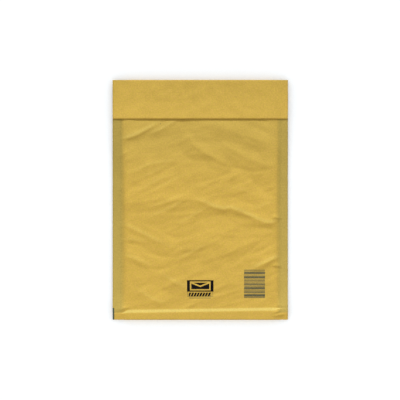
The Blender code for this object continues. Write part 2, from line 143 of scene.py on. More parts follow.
# Folds pressed into the front: reach above the crest, reach below it and the crest's roundness,
# then the crest's points as across, up and height. All are in millimetres, and a dip has a
# height below nought.
FOLDS = {
    "corner fold by the left seam": (5.6, 2, 0.7, (
        (-91, 69.2, 0.4), (-85, 70, 1.15), (-78, 71.6, 1.4), (-71, 74.4, 1.45), (-64, 78, 1.4),
        (-57, 82, 1.1), (-48, 87.4, 0.4))),
    "second fold beside it": (4.2, 2.1, 0.5, (
        (-58, 75.2, 0.1), (-52, 77, 0.6), (-45, 79.8, 0.95), (-38, 83.6, 0.95),
        (-30, 88.4, 0.6))),
    "dip below the corner folds": (4, 9, 2, (
        (-85, 66, -0.3), (-69, 67, -0.5), (-52, 69.5, -0.55), (-34, 73, -0.4),
        (-21, 76, -0.1))),
    "broad swell at the upper right": (9, 7.5, 3, (
        (3, 84, 0.35), (20, 83, 1.2), (38, 80, 1.35), (56, 73, 1.25), (70, 67, 1.2),
        (80, 64, 0.35))),
    "dip under the broad swell": (4.5, 4.5, 2, (
        (0, 67.5, -0.15), (13, 67.5, -0.5), (26, 67.5, -0.35), (38, 65, -0.3), (53, 60, -0.4),
        (67, 54, -0.55), (75, 53, -0.2))),
    "second swell at the right": (6, 7, 2, (
        (18, 66, 0.2), (29, 61.5, 0.75), (42, 54.5, 1.05), (54, 47, 1), (66, 41.5, 0.85),
        (75, 39.5, 0.6), (82, 39, 0.3))),
    "deep dip at the right seam": (7.5, 5.5, 2.5, (
        (25, 39, -0.35), (38, 37, -0.65), (49, 31, -0.75), (59, 23, -0.9), (68, 15, -1.1),
        (75, 11, -1.4), (83, 13, -0.4))),
    "fold above the middle": (4, 5, 1.6, (
        (-23, 82, 0.15), (-14, 72, 0.65), (-6, 61.5, 0.85), (3, 55, 0.9), (13.5, 48.5, 0.9),
        (23, 43.5, 0.8), (31, 39, 0.5), (39, 35, 0.1))),
    "fine fold in the lower middle": (2.6, 2.4, 0.8, (
        (-26, -69.5, 0.1), (-18, -64.6, 0.45), (-8, -59.4, 0.6), (2, -54.2, 0.55),
        (12, -50.8, 0.15))),
    "fine fold at the left": (2.4, 2.2, 0.7, (
        (-78, 19.5, 0.1), (-68, 23.5, 0.3), (-56, 29.5, 0.4), (-44, 35.6, 0.3), (-36, 39.4, 0.1))),
    "fine fold left of the middle": (2.6, 2.2, 0.8, (
        (-57, -9, 0.1), (-47, -5.6, 0.45), (-36, -1.4, 0.5), (-25, 3, 0.35), (-16, 5.4, 0.1))),
    "fine fold right of the middle": (2.4, 2.4, 0.8, (
        (24, 10, 0.1), (32, 14, 0.3), (42, 12.4, 0.35), (52, 9, 0.3), (60, 6.4, 0.1))),
    "fine fold over the middle": (3, 2.4, 0.9, (
        (-18, 11.6, 0.1), (-8, 13.6, 0.2), (4, 14.8, 0.25), (14, 15.4, 0.1))),
    "fine fold above the main fold": (3, 2.4, 0.9, (
        (58, -12, 0.1), (66, -9.4, 0.4), (75, -6, 0.45), (83, -3, 0.15))),
    "fine fold at the left seam": (3, 2.2, 0.9, (
        (-88, -46, 0.3), (-79, -46.2, 0.65), (-70, -47.2, 0.5), (-61, -49, 0.1))),
    "dip above the middle": (7, 5.5, 2, (
        (-34, 58, -0.25), (-21, 53.5, -0.7), (-7, 44.5, -0.95), (6.5, 39, -0.9),
        (20, 33.5, -0.6), (32, 29.5, -0.2))),
    "first fan fold at the left": (3.2, 2.8, 1, (
        (-80, 29, 0.15), (-70, 33.5, 0.35), (-60, 39, 0.55), (-50, 41.6, 0.55), (-38, 42.8, 0.45),
        (-26, 44.5, 0.15))),
    "first fan dip": (3.4, 3.4, 1.5, (
        (-80, 13.5, -0.1), (-73, 17, -0.6), (-61, 24.5, -0.5), (-48, 30, -0.55),
        (-34, 37.5, -0.3), (-23, 42, -0.05))),
    "second fan fold": (3, 2.4, 1.1, (
        (-71, 9.5, 0.1), (-60, 15.5, 0.4), (-48, 21.5, 0.5), (-38, 25.5, 0.35), (-28, 29, 0.1))),
    "third fan fold": (3, 2.6, 0.9, (
        (-62, 7, 0.1), (-51, 11.8, 0.3), (-40, 17, 0.45), (-30, 22, 0.5), (-21, 26.2, 0.3),
        (-12, 29.5, 0.1))),
    "fold that crosses the middle": (6.3, 5.7, 1.5, (
        (-85, -2.5, 0.4), (-69, -2.5, 0.5), (-55, -0.5, 0.7), (-39, 0, 0.7), (-23, -0.2, 0.95),
        (-7, 0.3, 1.2), (3, -2.2, 1.25))),
    "main fold to the right seam": (4.8, 3.1, 1.2, (
        (-1.5, -0.6, 0.3), (6.5, -4, 0.88), (15.5, -8.4, 1.45), (24, -10.6, 1.6), (35, -10, 1.55),
        (45, -13.2, 1.55), (54.5, -17.6, 1.55), (63.5, -22.2, 1.6), (73, -26, 1.62),
        (80, -26.8, 1.65), (87, -25.2, 0.6))),
    "dip under the main fold": (4, 9, 2, (
        (-14, -27.5, -0.3), (0, -22, -0.7), (13.5, -18, -0.9), (27, -18.5, -0.9),
        (42, -21, -0.75), (52, -25, -0.5), (62, -30, -0.1))),
    "lower branch at the left": (4, 3.4, 1, (
        (-55, -19.5, 0.2), (-46, -15.5, 0.55), (-34.5, -10.5, 0.55), (-23, -5, 0.45))),
    "lowest branch": (3, 3, 1, (
        (-25, -28.5, 0.1), (-15, -23, 0.5), (-5, -17, 0.6), (4, -11, 0.4))),
    "dip left of the lowest branch": (4.6, 5.7, 2, (
        (-78, -26, -0.3), (-63, -30, -0.35), (-48, -34, -0.4), (-34.5, -41, -0.35),
        (-21, -44.5, -0.3), (-9, -41, -0.1))),
    "fold falling from the left seam": (3.2, 3.2, 0.9, (
        (-90, -27, 0.5), (-80, -31.6, 0.85), (-70, -36.4, 0.9), (-60, -41.6, 0.85),
        (-50, -47, 0.75), (-42, -51, 0.5), (-33, -54, 0.35), (-23, -55.6, 0.15))),
    "swell in the lower middle": (7, 7.5, 2.5, (
        (-32, -52.5, 0.4), (-18.5, -52.5, 0.85), (-6, -49, 1.05), (6.5, -47, 1.25),
        (18, -49, 1), (29, -52.5, 0.5))),
    "dip in the lower middle": (4.6, 8, 2, (
        (-42.5, -82, -0.25), (-30, -75.5, -0.3), (-16, -68.5, -0.3), (-2.5, -61, -0.2),
        (9, -56, -0.1))),
    "fold rising to the right seam": (4, 3.1, 1.6, (
        (4, -70, 0.2), (12, -67, 0.45), (22, -63.8, 0.6), (31, -61.6, 0.7), (40, -57.4, 0.8),
        (50, -51.6, 0.7), (60, -47, 0.5), (73, -43, 0.25))),
    "dip under the rising fold": (3.4, 5.7, 1.5, (
        (0, -76.5, -0.1), (13.5, -72, -0.25), (27, -68, -0.3), (41, -64, -0.25),
        (54.5, -59.5, -0.1))),
    "dip at the left seam": (3.4, 3.4, 1.2, (
        (-84, -49, -0.3), (-72, -51, -0.5), (-61, -56, -0.5), (-48, -64, -0.35),
        (-37, -71, -0.1))),
    "short fold at the left seam": (3.4, 4, 0.8, (
        (-84, -64, 0.65), (-75.5, -67, 0.8), (-66.5, -71, 0.55), (-57, -75.5, 0.2))),
    "corner fold by the right seam": (4, 3.1, 0.5, (
        (55, -80.2, 0.1), (61, -77.6, 0.7), (67, -75.2, 1.35), (74, -72, 1.85), (80, -69.2, 2),
        (87, -66.2, 1.5))),
    "fold at the lower left": (3.4, 3.4, 1, (
        (-44, -86, 0.2), (-37, -90, 0.65), (-29, -94.4, 0.75), (-21, -98.4, 0.6),
        (-11, -101, 0.15))),
    "dip at the lower left": (5.7, 5.7, 2, (
        (-69, -98, -0.2), (-57, -96, -0.6), (-46, -100.5, -0.6), (-34.5, -107.5, -0.6),
        (-21, -112, -0.45), (-5, -114, -0.1))),
    "fold by the bottom left corner": (4, 4.6, 1, (
        (-73, -100.5, 0.2), (-65, -107.5, 0.65), (-57, -112.5, 0.8), (-48, -116.5, 0.7),
        (-37, -119, 0.2))),
    "fold beside the printed mark": (4.6, 4.6, 1.5, (
        (16, -104, 0.4), (25, -98, 0.85), (34, -95.5, 0.85), (45, -95, 0.3))),
    "thin crease by the bottom right": (1.1, 1.4, 0.3, (
        (74, -112.5, 0.1), (71, -116.5, 0.4), (67, -122.5, 0.2))),
}

# Folds of the same kind that cross the shoulders and seams, in the front paper alone
SEAM_FOLDS = {
    "ridge above the roll's left end": (3, 1.1, 0.3, (
        (-92, -125.2, 0.6), (-88, -124.2, 1.3), (-83, -123.2, 0.9), (-79, -122.8, 0.1))),
    "ridge under the roll's right end": (1.2, 1.1, 0.2, (
        (82, -129.2, 0.2), (86, -127.8, 1.1), (90, -126.2, 1.3), (93, -125, 0.3))),
    "ridge over the roll's right end": (2.6, 1.2, 0.3, (
        (85, -120.6, 0.1), (89, -120.6, 0.5), (93, -121, 0.4), (96, -121.6, 0.1))),
    "wedge at the bottom right": (1.8, 1.1, 0.2, (
        (83, -132, 0.3), (88, -131.6, 1.1), (93, -131, 1.4), (97, -130.2, 0.3))),
    "nick at the end of the main fold": (2.4, 1.4, 0.3, (
        (81.5, -19.4, 0.3), (85, -19.8, 1.7), (89.5, -20.8, 1.6), (92, -21.6, 0.2))),
    "nick beside the corner fold": (2.6, 1.1, 0.3, (
        (81, -74.8, 0.3), (85, -74.8, 1.5), (90, -75.4, 1.3), (93, -76, 0.2))),
    "nick high on the left seam": (2.4, 1.1, 0.3, (
        (-90, 50, 0.4), (-86.5, 52.6, 0.8), (-83, 54, 0.2))),
}

# How deep the folds may go, and how they fade under the flap and above the roll
LOWEST_FOLD = -1.15 * MM
HIGHEST_FOLD_UNDER_FLAP = 0.35 * MM
SHARE_UNDER_FLAP = 0.5
BELOW_FLAP = 6 * MM
BELOW_FLAP_RUN = 5 * MM
ABOVE_ROLL = 0.3
ABOVE_ROLL_RUN = 8 * MM

# Painted highlight: only folds up to a roundness get it, as a paler colour on their lit upper side
# a little off the crest; the roll's lit flank gets it too
HIGHLIT_ROUNDNESS = 1.2
HIGHLIGHT_SHARE = 0.4
HIGHLIGHT_REACH = 2.0 * MM
ROLL_HIGHLIGHT_EDGE = 0.3
HIGHLIGHT_COLOR_SHARE = 0.9

# Small uneven places
RIPPLE_COUNT = 60
RIPPLE_HEIGHT = 0.025 * MM
USUAL_RIPPLE = 14 * MM
BACK_RIPPLES = 2.5
BACK_RIPPLE_MOST = 0.12 * MM
PUCKER_COUNT = 26
PUCKER_WIDTH = 1.5 * MM
WRINKLE_COUNT = 420
UPPER_REACH, LOWER_REACH = 1.25, 0.75
RISING_TURN, FALLING_TURN, TURN_SPREAD = math.radians(24), math.radians(-25), math.radians(8)
UPPER_CALM = 0.65
UPPER_CALM_RUN = 50 * MM
FLAP_WAVE = 0.06 * MM
FLAP_WAVE_LONG, FLAP_WAVE_SHORT, FLAP_WAVE_DOWN = 21 * MM, 9.7 * MM, 33 * MM
FLAP_WAVE_LEAD = 0.7
FLAP_RIPPLES = 2.5
FLAP_WRINKLES = 0.45
FLAP_WRINKLES_FROM = 125 * MM
FLAP_EDGE_CALM = 0.8

# Grid of the kraft sheet
SEAM_COLUMNS = 4
SHOULDER_COLUMNS = 9
FIELD_COLUMNS = 118
FLAP_ROWS = 26
TOP_FOLD_ROWS = 14
BACK_ROWS = 44
BOTTOM_FOLD_ROWS = 12
MARGIN_ROWS = 9
FLANK_ROWS = 8
FIELD_ROWS = 204


def mm(*values):
    return tuple(value * MM for value in values)


# Print on the front, each box as its left, right, bottom and top
MARK = mm(-15.1, 15.1, -104.55, -91.45)
MARK_CENTRE = (*mm(0, -98), 0.0)
STROKES = mm(-13.2, 12.4, -109.9, -105.6)
STROKES_FRAME = mm(-14.7, 14.5, -110.3, -104.55)
WITHIN_FRAME = mm(-14.2, 14.0, -109.8, -98)
FINE_RULE = mm(-12.6, 12.2, -112.3, -111.3)
BARS = mm(49.9, 73.8, -111.8, -79.1)
SPECK = mm(-45.8, -44.9, 86.2, 87.2)
EYE_MARK_WIDTH = 1.9 * MM
EYE_MARK_HEIGHT = 13.4 * MM
EYE_MARK_PAST_EDGE = 4 * MM
BAR_MODULE = 0.345 * MM
BAR_STEP = 4.6
BAR_LEAST, BAR_MOST = 0.38, 0.92
STROKE_PITCH = 3.2 * MM
STROKE_SHARE = 0.72
STROKE_LEAN = 0.45
SIGN_TIP_BELOW = 0.1
SIGN_FLAP_WEIGHT = 1.15
INK_BLEED = 0.1 * MM
INK_UNEVENNESS = 0.12 * MM

# Tones of the paper, with a painted highlight at the flap's free edge and painted shade on the
# flap
FIBRE_TONE = 0.16
FLECK_TONE = 0.10
OUTSIDE_CONTRAST = 1.12
INSIDE_CONTRAST = 1.2
LINER_CONTRAST = 0.6
# Painted highlight along the flap's free edge
FLAP_EDGE_HIGHLIGHT_RUN = 1.6 * MM
FLAP_EDGE_HIGHLIGHT = 0.14
# Painted shade: the flap darkens from its free edge toward its fold
FLAP_PAINTED_SHADE = 0.11
LOWER_LIGHT = 0.05
LEFT_LIGHT = 0.018
UPPER_OLIVE = 0.42
UPPER_OLIVE_RUN = 0.6
FLAP_OLIVE = 0.16

# Welded strips, seen from outside; their olive colour is partly their own and partly painted shade
# of the low strips
WELD_LEFT = 12.2 * MM
WELD_RIGHT_BOTTOM = 10.8 * MM
WELD_RIGHT_TOP = 12.6 * MM
WELD_FADE = 3.6 * MM
WELD_UNEVENNESS = 2.3 * MM
WELD_ABOVE_FOLD = 8.4 * MM
WELD_END_FADE = 0.5 * MM
WELD_DARKENING = 0.16
RIGHT_SHARE = 0.75
RIGHT_STRIP = 7.6 * MM
RIGHT_STRIP_LIGHT = 0.05
# Painted shade along the crease at the foot of the left shoulder
FOOT_LINE = 9.6 * MM
FOOT_LINE_CORE, FOOT_LINE_EDGE = 0.4 * MM, 1.5 * MM
FOOT_LINE_PAINTED_SHADE = 0.06
RIB_PITCH = 1.6 * MM
RIB_TONE = 0.015
RIB_HEIGHT = 0.9

# How the paper shines
PAPER_ROUGHNESS = 0.8
INSIDE_ROUGHNESS = 0.62
FIBRE_ROUGHNESS = 0.25
WELD_SMOOTHNESS = 0.05
PAPER_SPECULAR = 0.1
FIBRE_DEPTH = 0.03 * MM


def steps(count):
    """Shares from 0 to 1 at the ends of count equal steps, as a column."""
    return np.linspace(0.0, 1.0, count + 1)[:, None]


def between(a, b, share):
    return a + (b - a) * share


def ease(share):
    share = np.clip(share, 0.0, 1.0)
    return share * share * (3 - 2 * share)


def over(value, start, run):
    """0 up to the start, and eased up to 1 over the run that follows it."""
    return ease((value - start) / run)


class Section:
    """Where every layer of the envelope lies, worked out from the sizes in the settings."""

    def __init__(self, sizes):
        self.half_width = sizes.width / 2
        self.half_height = sizes.height / 2
        self.flap_edge = self.half_height - sizes.flap_depth
        self.fold_strength = sizes.fold_strength
        self.edge_y = self.half_height - PAPER / 2
        self.top_fold_y = self.edge_y - TOP_FOLD
        self.mouth_y = self.top_fold_y - MOUTH_BELOW_FOLD
        self.lining_mouth_y = self.mouth_y - LINING_BELOW_MOUTH
        self.back = PAPER / 2
        self.front = 2 * PAPER + 2 * BUBBLE_FILM + POCKET + 2 * LAYER_GAP + VALLEY_ROOM - PAPER / 2
        self.flap = self.front + PAPER + 2 * STRIP_GAP + 2 * STRIP + FLAP_GAP
        self.seam_offset = WELDED_FILM / 2 + LAYER_GAP + PAPER / 2

    def inside(self, x):
        """Distance in from the nearer seam's inner edge."""
        left = x + self.half_width - LEFT_FOOT
        right = self.half_width - RIGHT_FOOT - x
        return np.minimum(left, right)

    def rise(self, x):
        """0 on the seams and 1 on the padded field."""
        share = np.clip(self.inside(x) / SHOULDER, 0.0, 1.0)
        share = np.hypot(share, FOOT_SOFTNESS) - FOOT_SOFTNESS
        share = share / (math.hypot(1.0, FOOT_SOFTNESS) - FOOT_SOFTNESS)
        return 1 - (1 - share) ** SHOULDER_POWER

    def seam(self, x, y):
        """Level of the welded seams, halfway between their papers."""
        up = y + self.half_height
        pressed = CORNER_DROP * (1 - over(up, CORNER_START, CORNER_RUN))
        pressed = pressed + CORNER_FALL * np.clip(1 - up / CORNER_START, 0.0, 1.0)
        wave = np.sin(y / LONG_WAVE + np.where(x > 0, RIGHT_WAVE_LEAD, 0.0))
        wave = wave + SHORT_WAVE_SHARE * np.sin(y / SHORT_WAVE)
        from_side = np.clip((self.half_width - np.abs(x)) / LEFT_FOOT, 0.0, 1.0)
        near_mouth = over(up / (2 * self.half_height), RISE_START, RISE_RUN)
        risen = (SEAM_RISE + SEAM_TILT * from_side) * near_mouth
        risen = risen + CORNER_LIFT * (1 - ease(up / CORNER_LIFT_RUN))
        return SEAM_LEVEL - pressed + risen + SEAM_WAVE * wave * ease(up / WAVE_START)

    def roll_end(self, x):
        """Small where the roll ends at the seams and 1 along its length."""
        return np.clip(self.inside(x) / ROLL_END, ROLL_END_LEAST, 1.0)

    def roll_y(self, x):
        """Crest of the roll above the bottom fold. Its flank narrows toward both ends, from above
        at the left end and from below at the right end."""
        across = (x + self.half_width) / (2 * self.half_width)
        end = np.where(x > 0, ROLL_END_RISE * ROLL_FLANK * (1 - self.roll_end(x)), 0.0)
        return -self.half_height + between(ROLL_LEFT, ROLL_RIGHT, across) + end

    def roll(self, x, y):
        """Height of the front near the bottom against the padded field."""
        above = y - self.roll_y(x)
        end = self.roll_end(x)
        flank_run = ROLL_FLANK * end
        down = np.clip(-above / (self.roll_y(x) + self.half_height), 0.0, 1.0)
        margin = ROLL_HEIGHT - ROLL_FALL * down ** ROLL_CURVE
        flank = between(ROLL_HEIGHT, -VALLEY_DEPTH, ease(above / flank_run))
        widened = over(end, VALLEY_WIDENS_FROM, 1 - VALLEY_WIDENS_FROM)
        valley_run = between(VALLEY_RUN_AT_END, VALLEY_RUN, widened)
        valley = -VALLEY_DEPTH * (1 - over(above, flank_run, valley_run))
        return np.where(above <= 0, margin, np.where(above <= flank_run, flank, valley))

    def field(self, y):
        """Level of the padded field, which sinks a little toward the bottom."""
        return self.front - FIELD_SINK * (1 - over(y, -self.half_height, FIELD_SINK_RUN))

    def front_level(self, x, y, relief=0.0):
        seam, rise, roll = self.seam(x, y) + self.seam_offset, self.rise(x), self.roll(x, y)
        at_foot = over(self.inside(x), -ROLL_PAST_FOOT, ROLL_FOOT_RUN)
        roll = np.maximum(roll, 0) * at_foot + np.minimum(roll, 0) * rise
        level = between(seam, self.field(y) + relief, rise) + roll
        return level + fold_heights(x, y, SEAM_FOLDS)

    def back_level(self, x, y, relief=0.0):
        return between(self.seam(x, y) - self.seam_offset, self.back + relief, self.rise(x))

    def room(self, x, y):
        """Lowest and highest level that the film may take up between the papers."""
        seam, rise = self.seam(x, y), self.rise(x)
        high = between(seam + self.seam_offset, self.field(y) - VALLEY_ROOM, rise)
        low = between(seam - self.seam_offset, self.back, rise)
        return low + PAPER / 2 + LAYER_GAP, high - PAPER / 2 - LAYER_GAP

    def film(self, x, y, side):
        """Level of the smooth film on the upper or the lower side of the pocket."""
        low, high = self.room(x, y)
        apart = np.minimum(POCKET / 2 + POUCH_FILM, POCKET_SHARE * (high - low))
        return (low + high) / 2 + side * apart

    def flap_level(self, x, y):
        """Level of the flap, which springs up a little, has a slight bump at its edge and never
        comes too near the front."""
        down = np.clip((self.top_fold_y - y) / (self.top_fold_y - self.flap_edge), 0.0, 1.0)
        wave = np.sin(x / FLAP_WAVE_LONG + FLAP_WAVE_LEAD)
        wave = wave * np.sin(x / FLAP_WAVE_SHORT + y / FLAP_WAVE_DOWN)
        lift = FLAP_SPRING * down ** 2 + FLAP_WAVE * wave * down
        handled = FLAP_WRINKLES * wrinkles(x, y - FLAP_WRINKLES_FROM)
        handled = FLAP_RIPPLES * ripples(x, y) + handled
        lift = lift + handled * (1 - FLAP_EDGE_CALM * down ** 6)
        side = np.clip(1 - (self.half_width - np.abs(x)) / FLAP_DROOP_RUN, 0.0, 1.0)
        level = self.flap + lift - FLAP_DROOP * side ** 2
        lowest = self.front_level(x, y) + PAPER + FLAP_ROOM
        spare = level - lowest
        from_bump = np.hypot(x - BUMP_X, (y - self.flap_edge - BUMP_UP) * BUMP_FLATNESS)
        bump = BUMP_HEIGHT * np.exp(-((from_bump / BUMP_REACH) ** 2))
        return lowest + (spare + np.hypot(spare, FLAP_SOFTNESS)) / 2 + bump

    def bottom_depth(self, x):
        y = np.full_like(x, -self.edge_y)
        return BOTTOM_FOLD_RATIO * (self.front_level(x, y) - self.back_level(x, y)) / 2


def fold_outline(turn, squareness=FOLD_SQUARENESS):
    """Depth and height shares along a fold, as turn goes from 0, the lower run, to 1."""
    angle = math.pi * (turn - 0.5)
    power = 2 / squareness
    depth = np.maximum(np.cos(angle), 0.0) ** power
    height = np.sign(np.sin(angle)) * np.abs(np.sin(angle)) ** power
    return depth, height


def nearest_on_crest(x, y, points):
    """Distance from each (x, y) to a line of points, the height there, and the side it is on."""
    best = np.full(x.shape, np.inf)
    height, side = np.zeros(x.shape), np.ones(x.shape)
    for (ax, ay, ah), (bx, by, bh) in zip(points, points[1:]):
        run = (bx - ax) ** 2 + (by - ay) ** 2
        share = np.clip(((x - ax) * (bx - ax) + (y - ay) * (by - ay)) / run, 0.0, 1.0)
        away = np.hypot(x - between(ax, bx, share), y - between(ay, by, share))
        closer = away < best
        best = np.where(closer, away, best)
        height = np.where(closer, between(ah, bh, share), height)
        side = np.where(closer, (bx - ax) * (y - ay) - (by - ay) * (x - ax), side)
    return best, height, side


def each_fold(x, y, folds):
    """Height that each of the folds gives, the distance from it, its side, and its roundness."""
    for above, below, roundness, points in folds.values():
        away, crest, side = nearest_on_crest(x, y, [mm(*point) for point in points])
        reach = np.where(side > 0, above, below) * MM
        soft = roundness * MM
        yield crest * np.exp(-(np.hypot(away, soft) - soft) / reach), away, side, roundness


def fold_heights(x, y, folds):
    return sum(height for height, _, _, _ in each_fold(x, y, folds))


def front_relief(section, x, y):
    """Height of the folds in the front paper, and a painted highlight on the lit upper side of the
    folds and on the roll's flank.
    """
    relief, crease = np.zeros(x.shape), np.zeros(x.shape)
    for height, away, side, roundness in each_fold(x, y, FOLDS):
        relief += height
        # Painted highlight on the upper, lit side of each fold
        if roundness <= HIGHLIT_ROUNDNESS:
            line = np.exp(-(((away - HIGHLIGHT_REACH) / HIGHLIGHT_REACH) ** 2))
            highlight_strength = HIGHLIGHT_SHARE * np.clip(height / MM, 0, 1)
            crease = np.maximum(crease, highlight_strength * line * (side > 0))
    # Painted highlight on the roll's lit flank
    flank = (y - section.roll_y(x)) / (ROLL_FLANK * section.roll_end(x))
    on_flank = ease(flank / ROLL_HIGHLIGHT_EDGE) * ease((1 - flank) / ROLL_HIGHLIGHT_EDGE)
    crease = np.maximum(crease, on_flank)
    calm = between(1.0, UPPER_CALM, ease(y / UPPER_CALM_RUN))
    relief = relief + wrinkles(x, y) * calm + ripples(x, y) + puckers(section, x, y)
    relief = relief * section.fold_strength
    under_flap = over(y, section.flap_edge - BELOW_FLAP, BELOW_FLAP_RUN)
    pressed = np.clip(relief, None, HIGHEST_FOLD_UNDER_FLAP) * SHARE_UNDER_FLAP
    relief = between(relief, pressed, under_flap)
    above_roll = over(y, section.roll_y(x) + ROLL_FLANK * ABOVE_ROLL, ABOVE_ROLL_RUN)
    lowest = LOWEST_FOLD - np.minimum(section.roll(x, y), 0)
    return np.maximum(relief * above_roll, lowest), crease


def ripples(x, y):
    """Slight unevenness of paper that was handled, as many small waves."""
    random = np.random.default_rng(11)
    total = np.zeros(x.shape)
    for _ in range(RIPPLE_COUNT):
        length = random.uniform(6, 22) * MM
        turn, start = random.uniform(0, math.tau, 2)
        wave = (x * math.cos(turn) + y * math.sin(turn)) * math.tau / length
        total += RIPPLE_HEIGHT * (length / USUAL_RIPPLE) * np.sin(wave + start)
    return total / math.sqrt(RIPPLE_COUNT / 6)


def wrinkle_turn(x, y):
    """How steeply the fine wrinkles run at a place: they rise to the right, but fall to the right
    over the swells at the upper right, along the main fold and by the lower left seam."""
    x, y = x / MM, y / MM
    upper_right = over(x, -25, 45) * over(y, 22, 22)
    lower_left = over(-x, 28, 25) * over(-y, 8, 14) * over(y, -88, 20)
    main_fold = over(x, 20, 25) * over(y, -45, 14) * over(-y, -12, 16)
    return between(RISING_TURN, FALLING_TURN, max(upper_right, lower_left, 0.8 * main_fold))


def wrinkles(x, y):
    """Fine wrinkles that lean with the larger folds, each a short soft ridge or dip that is
    steeper on its lower side."""
    random = np.random.default_rng(87)
    total = np.zeros(x.shape)
    for _ in range(WRINKLE_COUNT):
        at_x, at_y = random.uniform(-88, 88) * MM, random.uniform(-124, 98) * MM
        turn = wrinkle_turn(at_x, at_y) + random.normal(0, TURN_SPREAD)
        length, width = random.uniform(8, 26) * MM, random.uniform(1.4, 3.4) * MM
        height = width * random.uniform(0.03, 0.12) * random.choice((-1, 1))
        bend = random.normal(0, 0.10)
        along = (x - at_x) * math.cos(turn) + (y - at_y) * math.sin(turn)
        away = (y - at_y) * math.cos(turn) - (x - at_x) * math.sin(turn)
        away = away - bend * along ** 2 / length
        reach = np.where(away > 0, UPPER_REACH, LOWER_REACH) * width
        total += height * np.exp(-((along / length) ** 2) - (away / reach) ** 2)
    return total


def puckers(section, x, y):
    """Short wrinkles that run in from the seams, where the film holds the paper back."""
    random = np.random.default_rng(5)
    total = np.zeros(x.shape)
    for side, foot in ((-1, LEFT_FOOT), (1, RIGHT_FOOT)):
        for _ in range(PUCKER_COUNT):
            at = random.uniform(-0.93, 0.62) * section.half_height
            height = random.uniform(0.11, 0.35) * MM * random.choice((-1, 1))
            length = random.uniform(3, 8) * MM
            slant = random.uniform(-0.7, 0.7)
            inward = section.half_width - foot - side * x
            along = np.exp(-((inward - PUCKER_WIDTH) / length) ** 2)
            away = y - at - slant * inward
            total += height * along * np.exp(-((away / PUCKER_WIDTH) ** 2))
    return total


def columns(section, outer, seam, shoulder, field):
    """Places across the envelope: seams out to outer, shoulders and field, in so many steps."""
    left, right = -section.half_width + LEFT_FOOT, section.half_width - RIGHT_FOOT
    ends = (-outer, left, left + SHOULDER, right - SHOULDER, right, outer)
    zones = zip(ends, ends[1:], (seam, shoulder, field, shoulder, seam))
    return np.concatenate([between(a, b, steps(n))[:-1, 0] for a, b, n in zones] + [[outer]])


def kraft_places(section):
    """Points of the sheet's mid-surface, row by row from the flap's free edge round to the mouth,
    with the painted highlight on the lit side of the folds, the place along the web, which is Y on
    the front, and the sheet's whole length."""
    blocks, highlight_blocks = [], []
    line = columns(section, section.half_width, SEAM_COLUMNS, SHOULDER_COLUMNS, FIELD_COLUMNS)

    def add(x, y, z, crease=None):
        blocks.append(np.stack([x, y, z], axis=-1))
        highlight_blocks.append(np.zeros(x.shape) if crease is None else crease)

    def across(rows):
        return np.broadcast_to(line, (len(rows), len(line)))

    s = steps(FLAP_ROWS)[:-1]
    x = across(s)
    y = between(section.flap_edge, section.top_fold_y, s) + 0 * x
    add(x, y, section.flap_level(x, y))

    s = steps(TOP_FOLD_ROWS)
    x = across(s)
    depth, height = fold_outline(1 - s, TOP_FOLD_SQUARENESS)
    start = np.full_like(x, section.top_fold_y)
    low, high = section.back_level(x, start), section.flap_level(x, start)
    add(x, start + TOP_FOLD * depth, (low + high + (high - low) * height) / 2)

    s = steps(BACK_ROWS)[1:-1]
    x = across(s)
    bottom = -section.edge_y + section.bottom_depth(x)
    y = between(section.top_fold_y, bottom, s)
    uneven = np.clip(BACK_RIPPLES * ripples(-x, y), 0.0, BACK_RIPPLE_MOST)
    add(x, y, section.back_level(x, y, uneven))

    s = steps(BOTTOM_FOLD_ROWS)
    x = across(s)
    depth, height = fold_outline(s)
    bottom = -section.edge_y + section.bottom_depth(x)
    low, high = section.back_level(x, bottom), section.front_level(x, bottom)
    y = bottom - section.bottom_depth(x) * depth
    add(x, y, (low + high + (high - low) * height) / 2)

    crest = section.roll_y(x[:1])
    flank_top = crest + ROLL_FLANK * section.roll_end(x[:1])
    zones = (
        (bottom[:1], crest, MARGIN_ROWS),
        (crest, flank_top, FLANK_ROWS),
        (flank_top, section.mouth_y, FIELD_ROWS),
    )
    y = np.concatenate([between(a, b, steps(n))[1:] for a, b, n in zones])
    x = across(y)
    relief, crease = front_relief(section, x, y)
    add(x, y, section.front_level(x, y, relief), crease)

    places = np.concatenate(blocks)
    middle = places[:, places.shape[1] // 2]
    along = np.concatenate([[0.0], np.cumsum(np.linalg.norm(np.diff(middle, axis=0), axis=1))])
    turn = len(places) - len(y) - 1
    along += middle[turn, 1] - along[turn]
    web = along[:, None] + 0 * places[:, :, 0]
    fold = slice(turn - BOTTOM_FOLD_ROWS, turn + 1)
    web[fold] += steps(BOTTOM_FOLD_ROWS) * (places[turn, :, 1] - along[turn])
    web[turn:] = places[turn:, :, 1]
    return places, np.concatenate(highlight_blocks), web, float(along[-1] - along[0])


def placed_grid(name, places):
    """A flat grid with a vertex for each place, moved there."""
    rows, columns = places.shape[0] - 1, places.shape[1] - 1
    bm = bmesh.new()
    bmesh.ops.create_grid(bm, x_segments=columns, y_segments=rows, size=0.5)
    where = np.array([v.co for v in bm.verts])
    column = np.rint((where[:, 0] + 0.5) * columns).astype(int)
    row = np.rint((where[:, 1] + 0.5) * rows).astype(int)
    mesh = bpy.data.meshes.new(name)
    bm.to_mesh(mesh)
    bm.free()
    mesh.vertices.foreach_set("co", places[row, column].astype(np.float32).ravel())
    mesh.update()
    mesh.shade_smooth()
    return mesh, row, column


def new_piece(name, mesh, materials):
    piece = bpy.data.objects.new(name, mesh)
    bpy.context.scene.collection.objects.link(piece)
    for material in materials:
        mesh.materials.append(material)
    return piece


def give_thickness(piece, thickness):
    solidify = piece.modifiers.new("Thickness", "SOLIDIFY")
    solidify.thickness = thickness
    solidify.offset = 0.0
    solidify.use_even_offset = True
    return solidify


def math_operator(operation, swapped=False):
    """Makes a method of Value that adds a Math node."""

    def apply(self, other=0.0):
        first, second = (other, self) if swapped else (self, other)
        return self.graph.math(operation, first, second)

    return apply


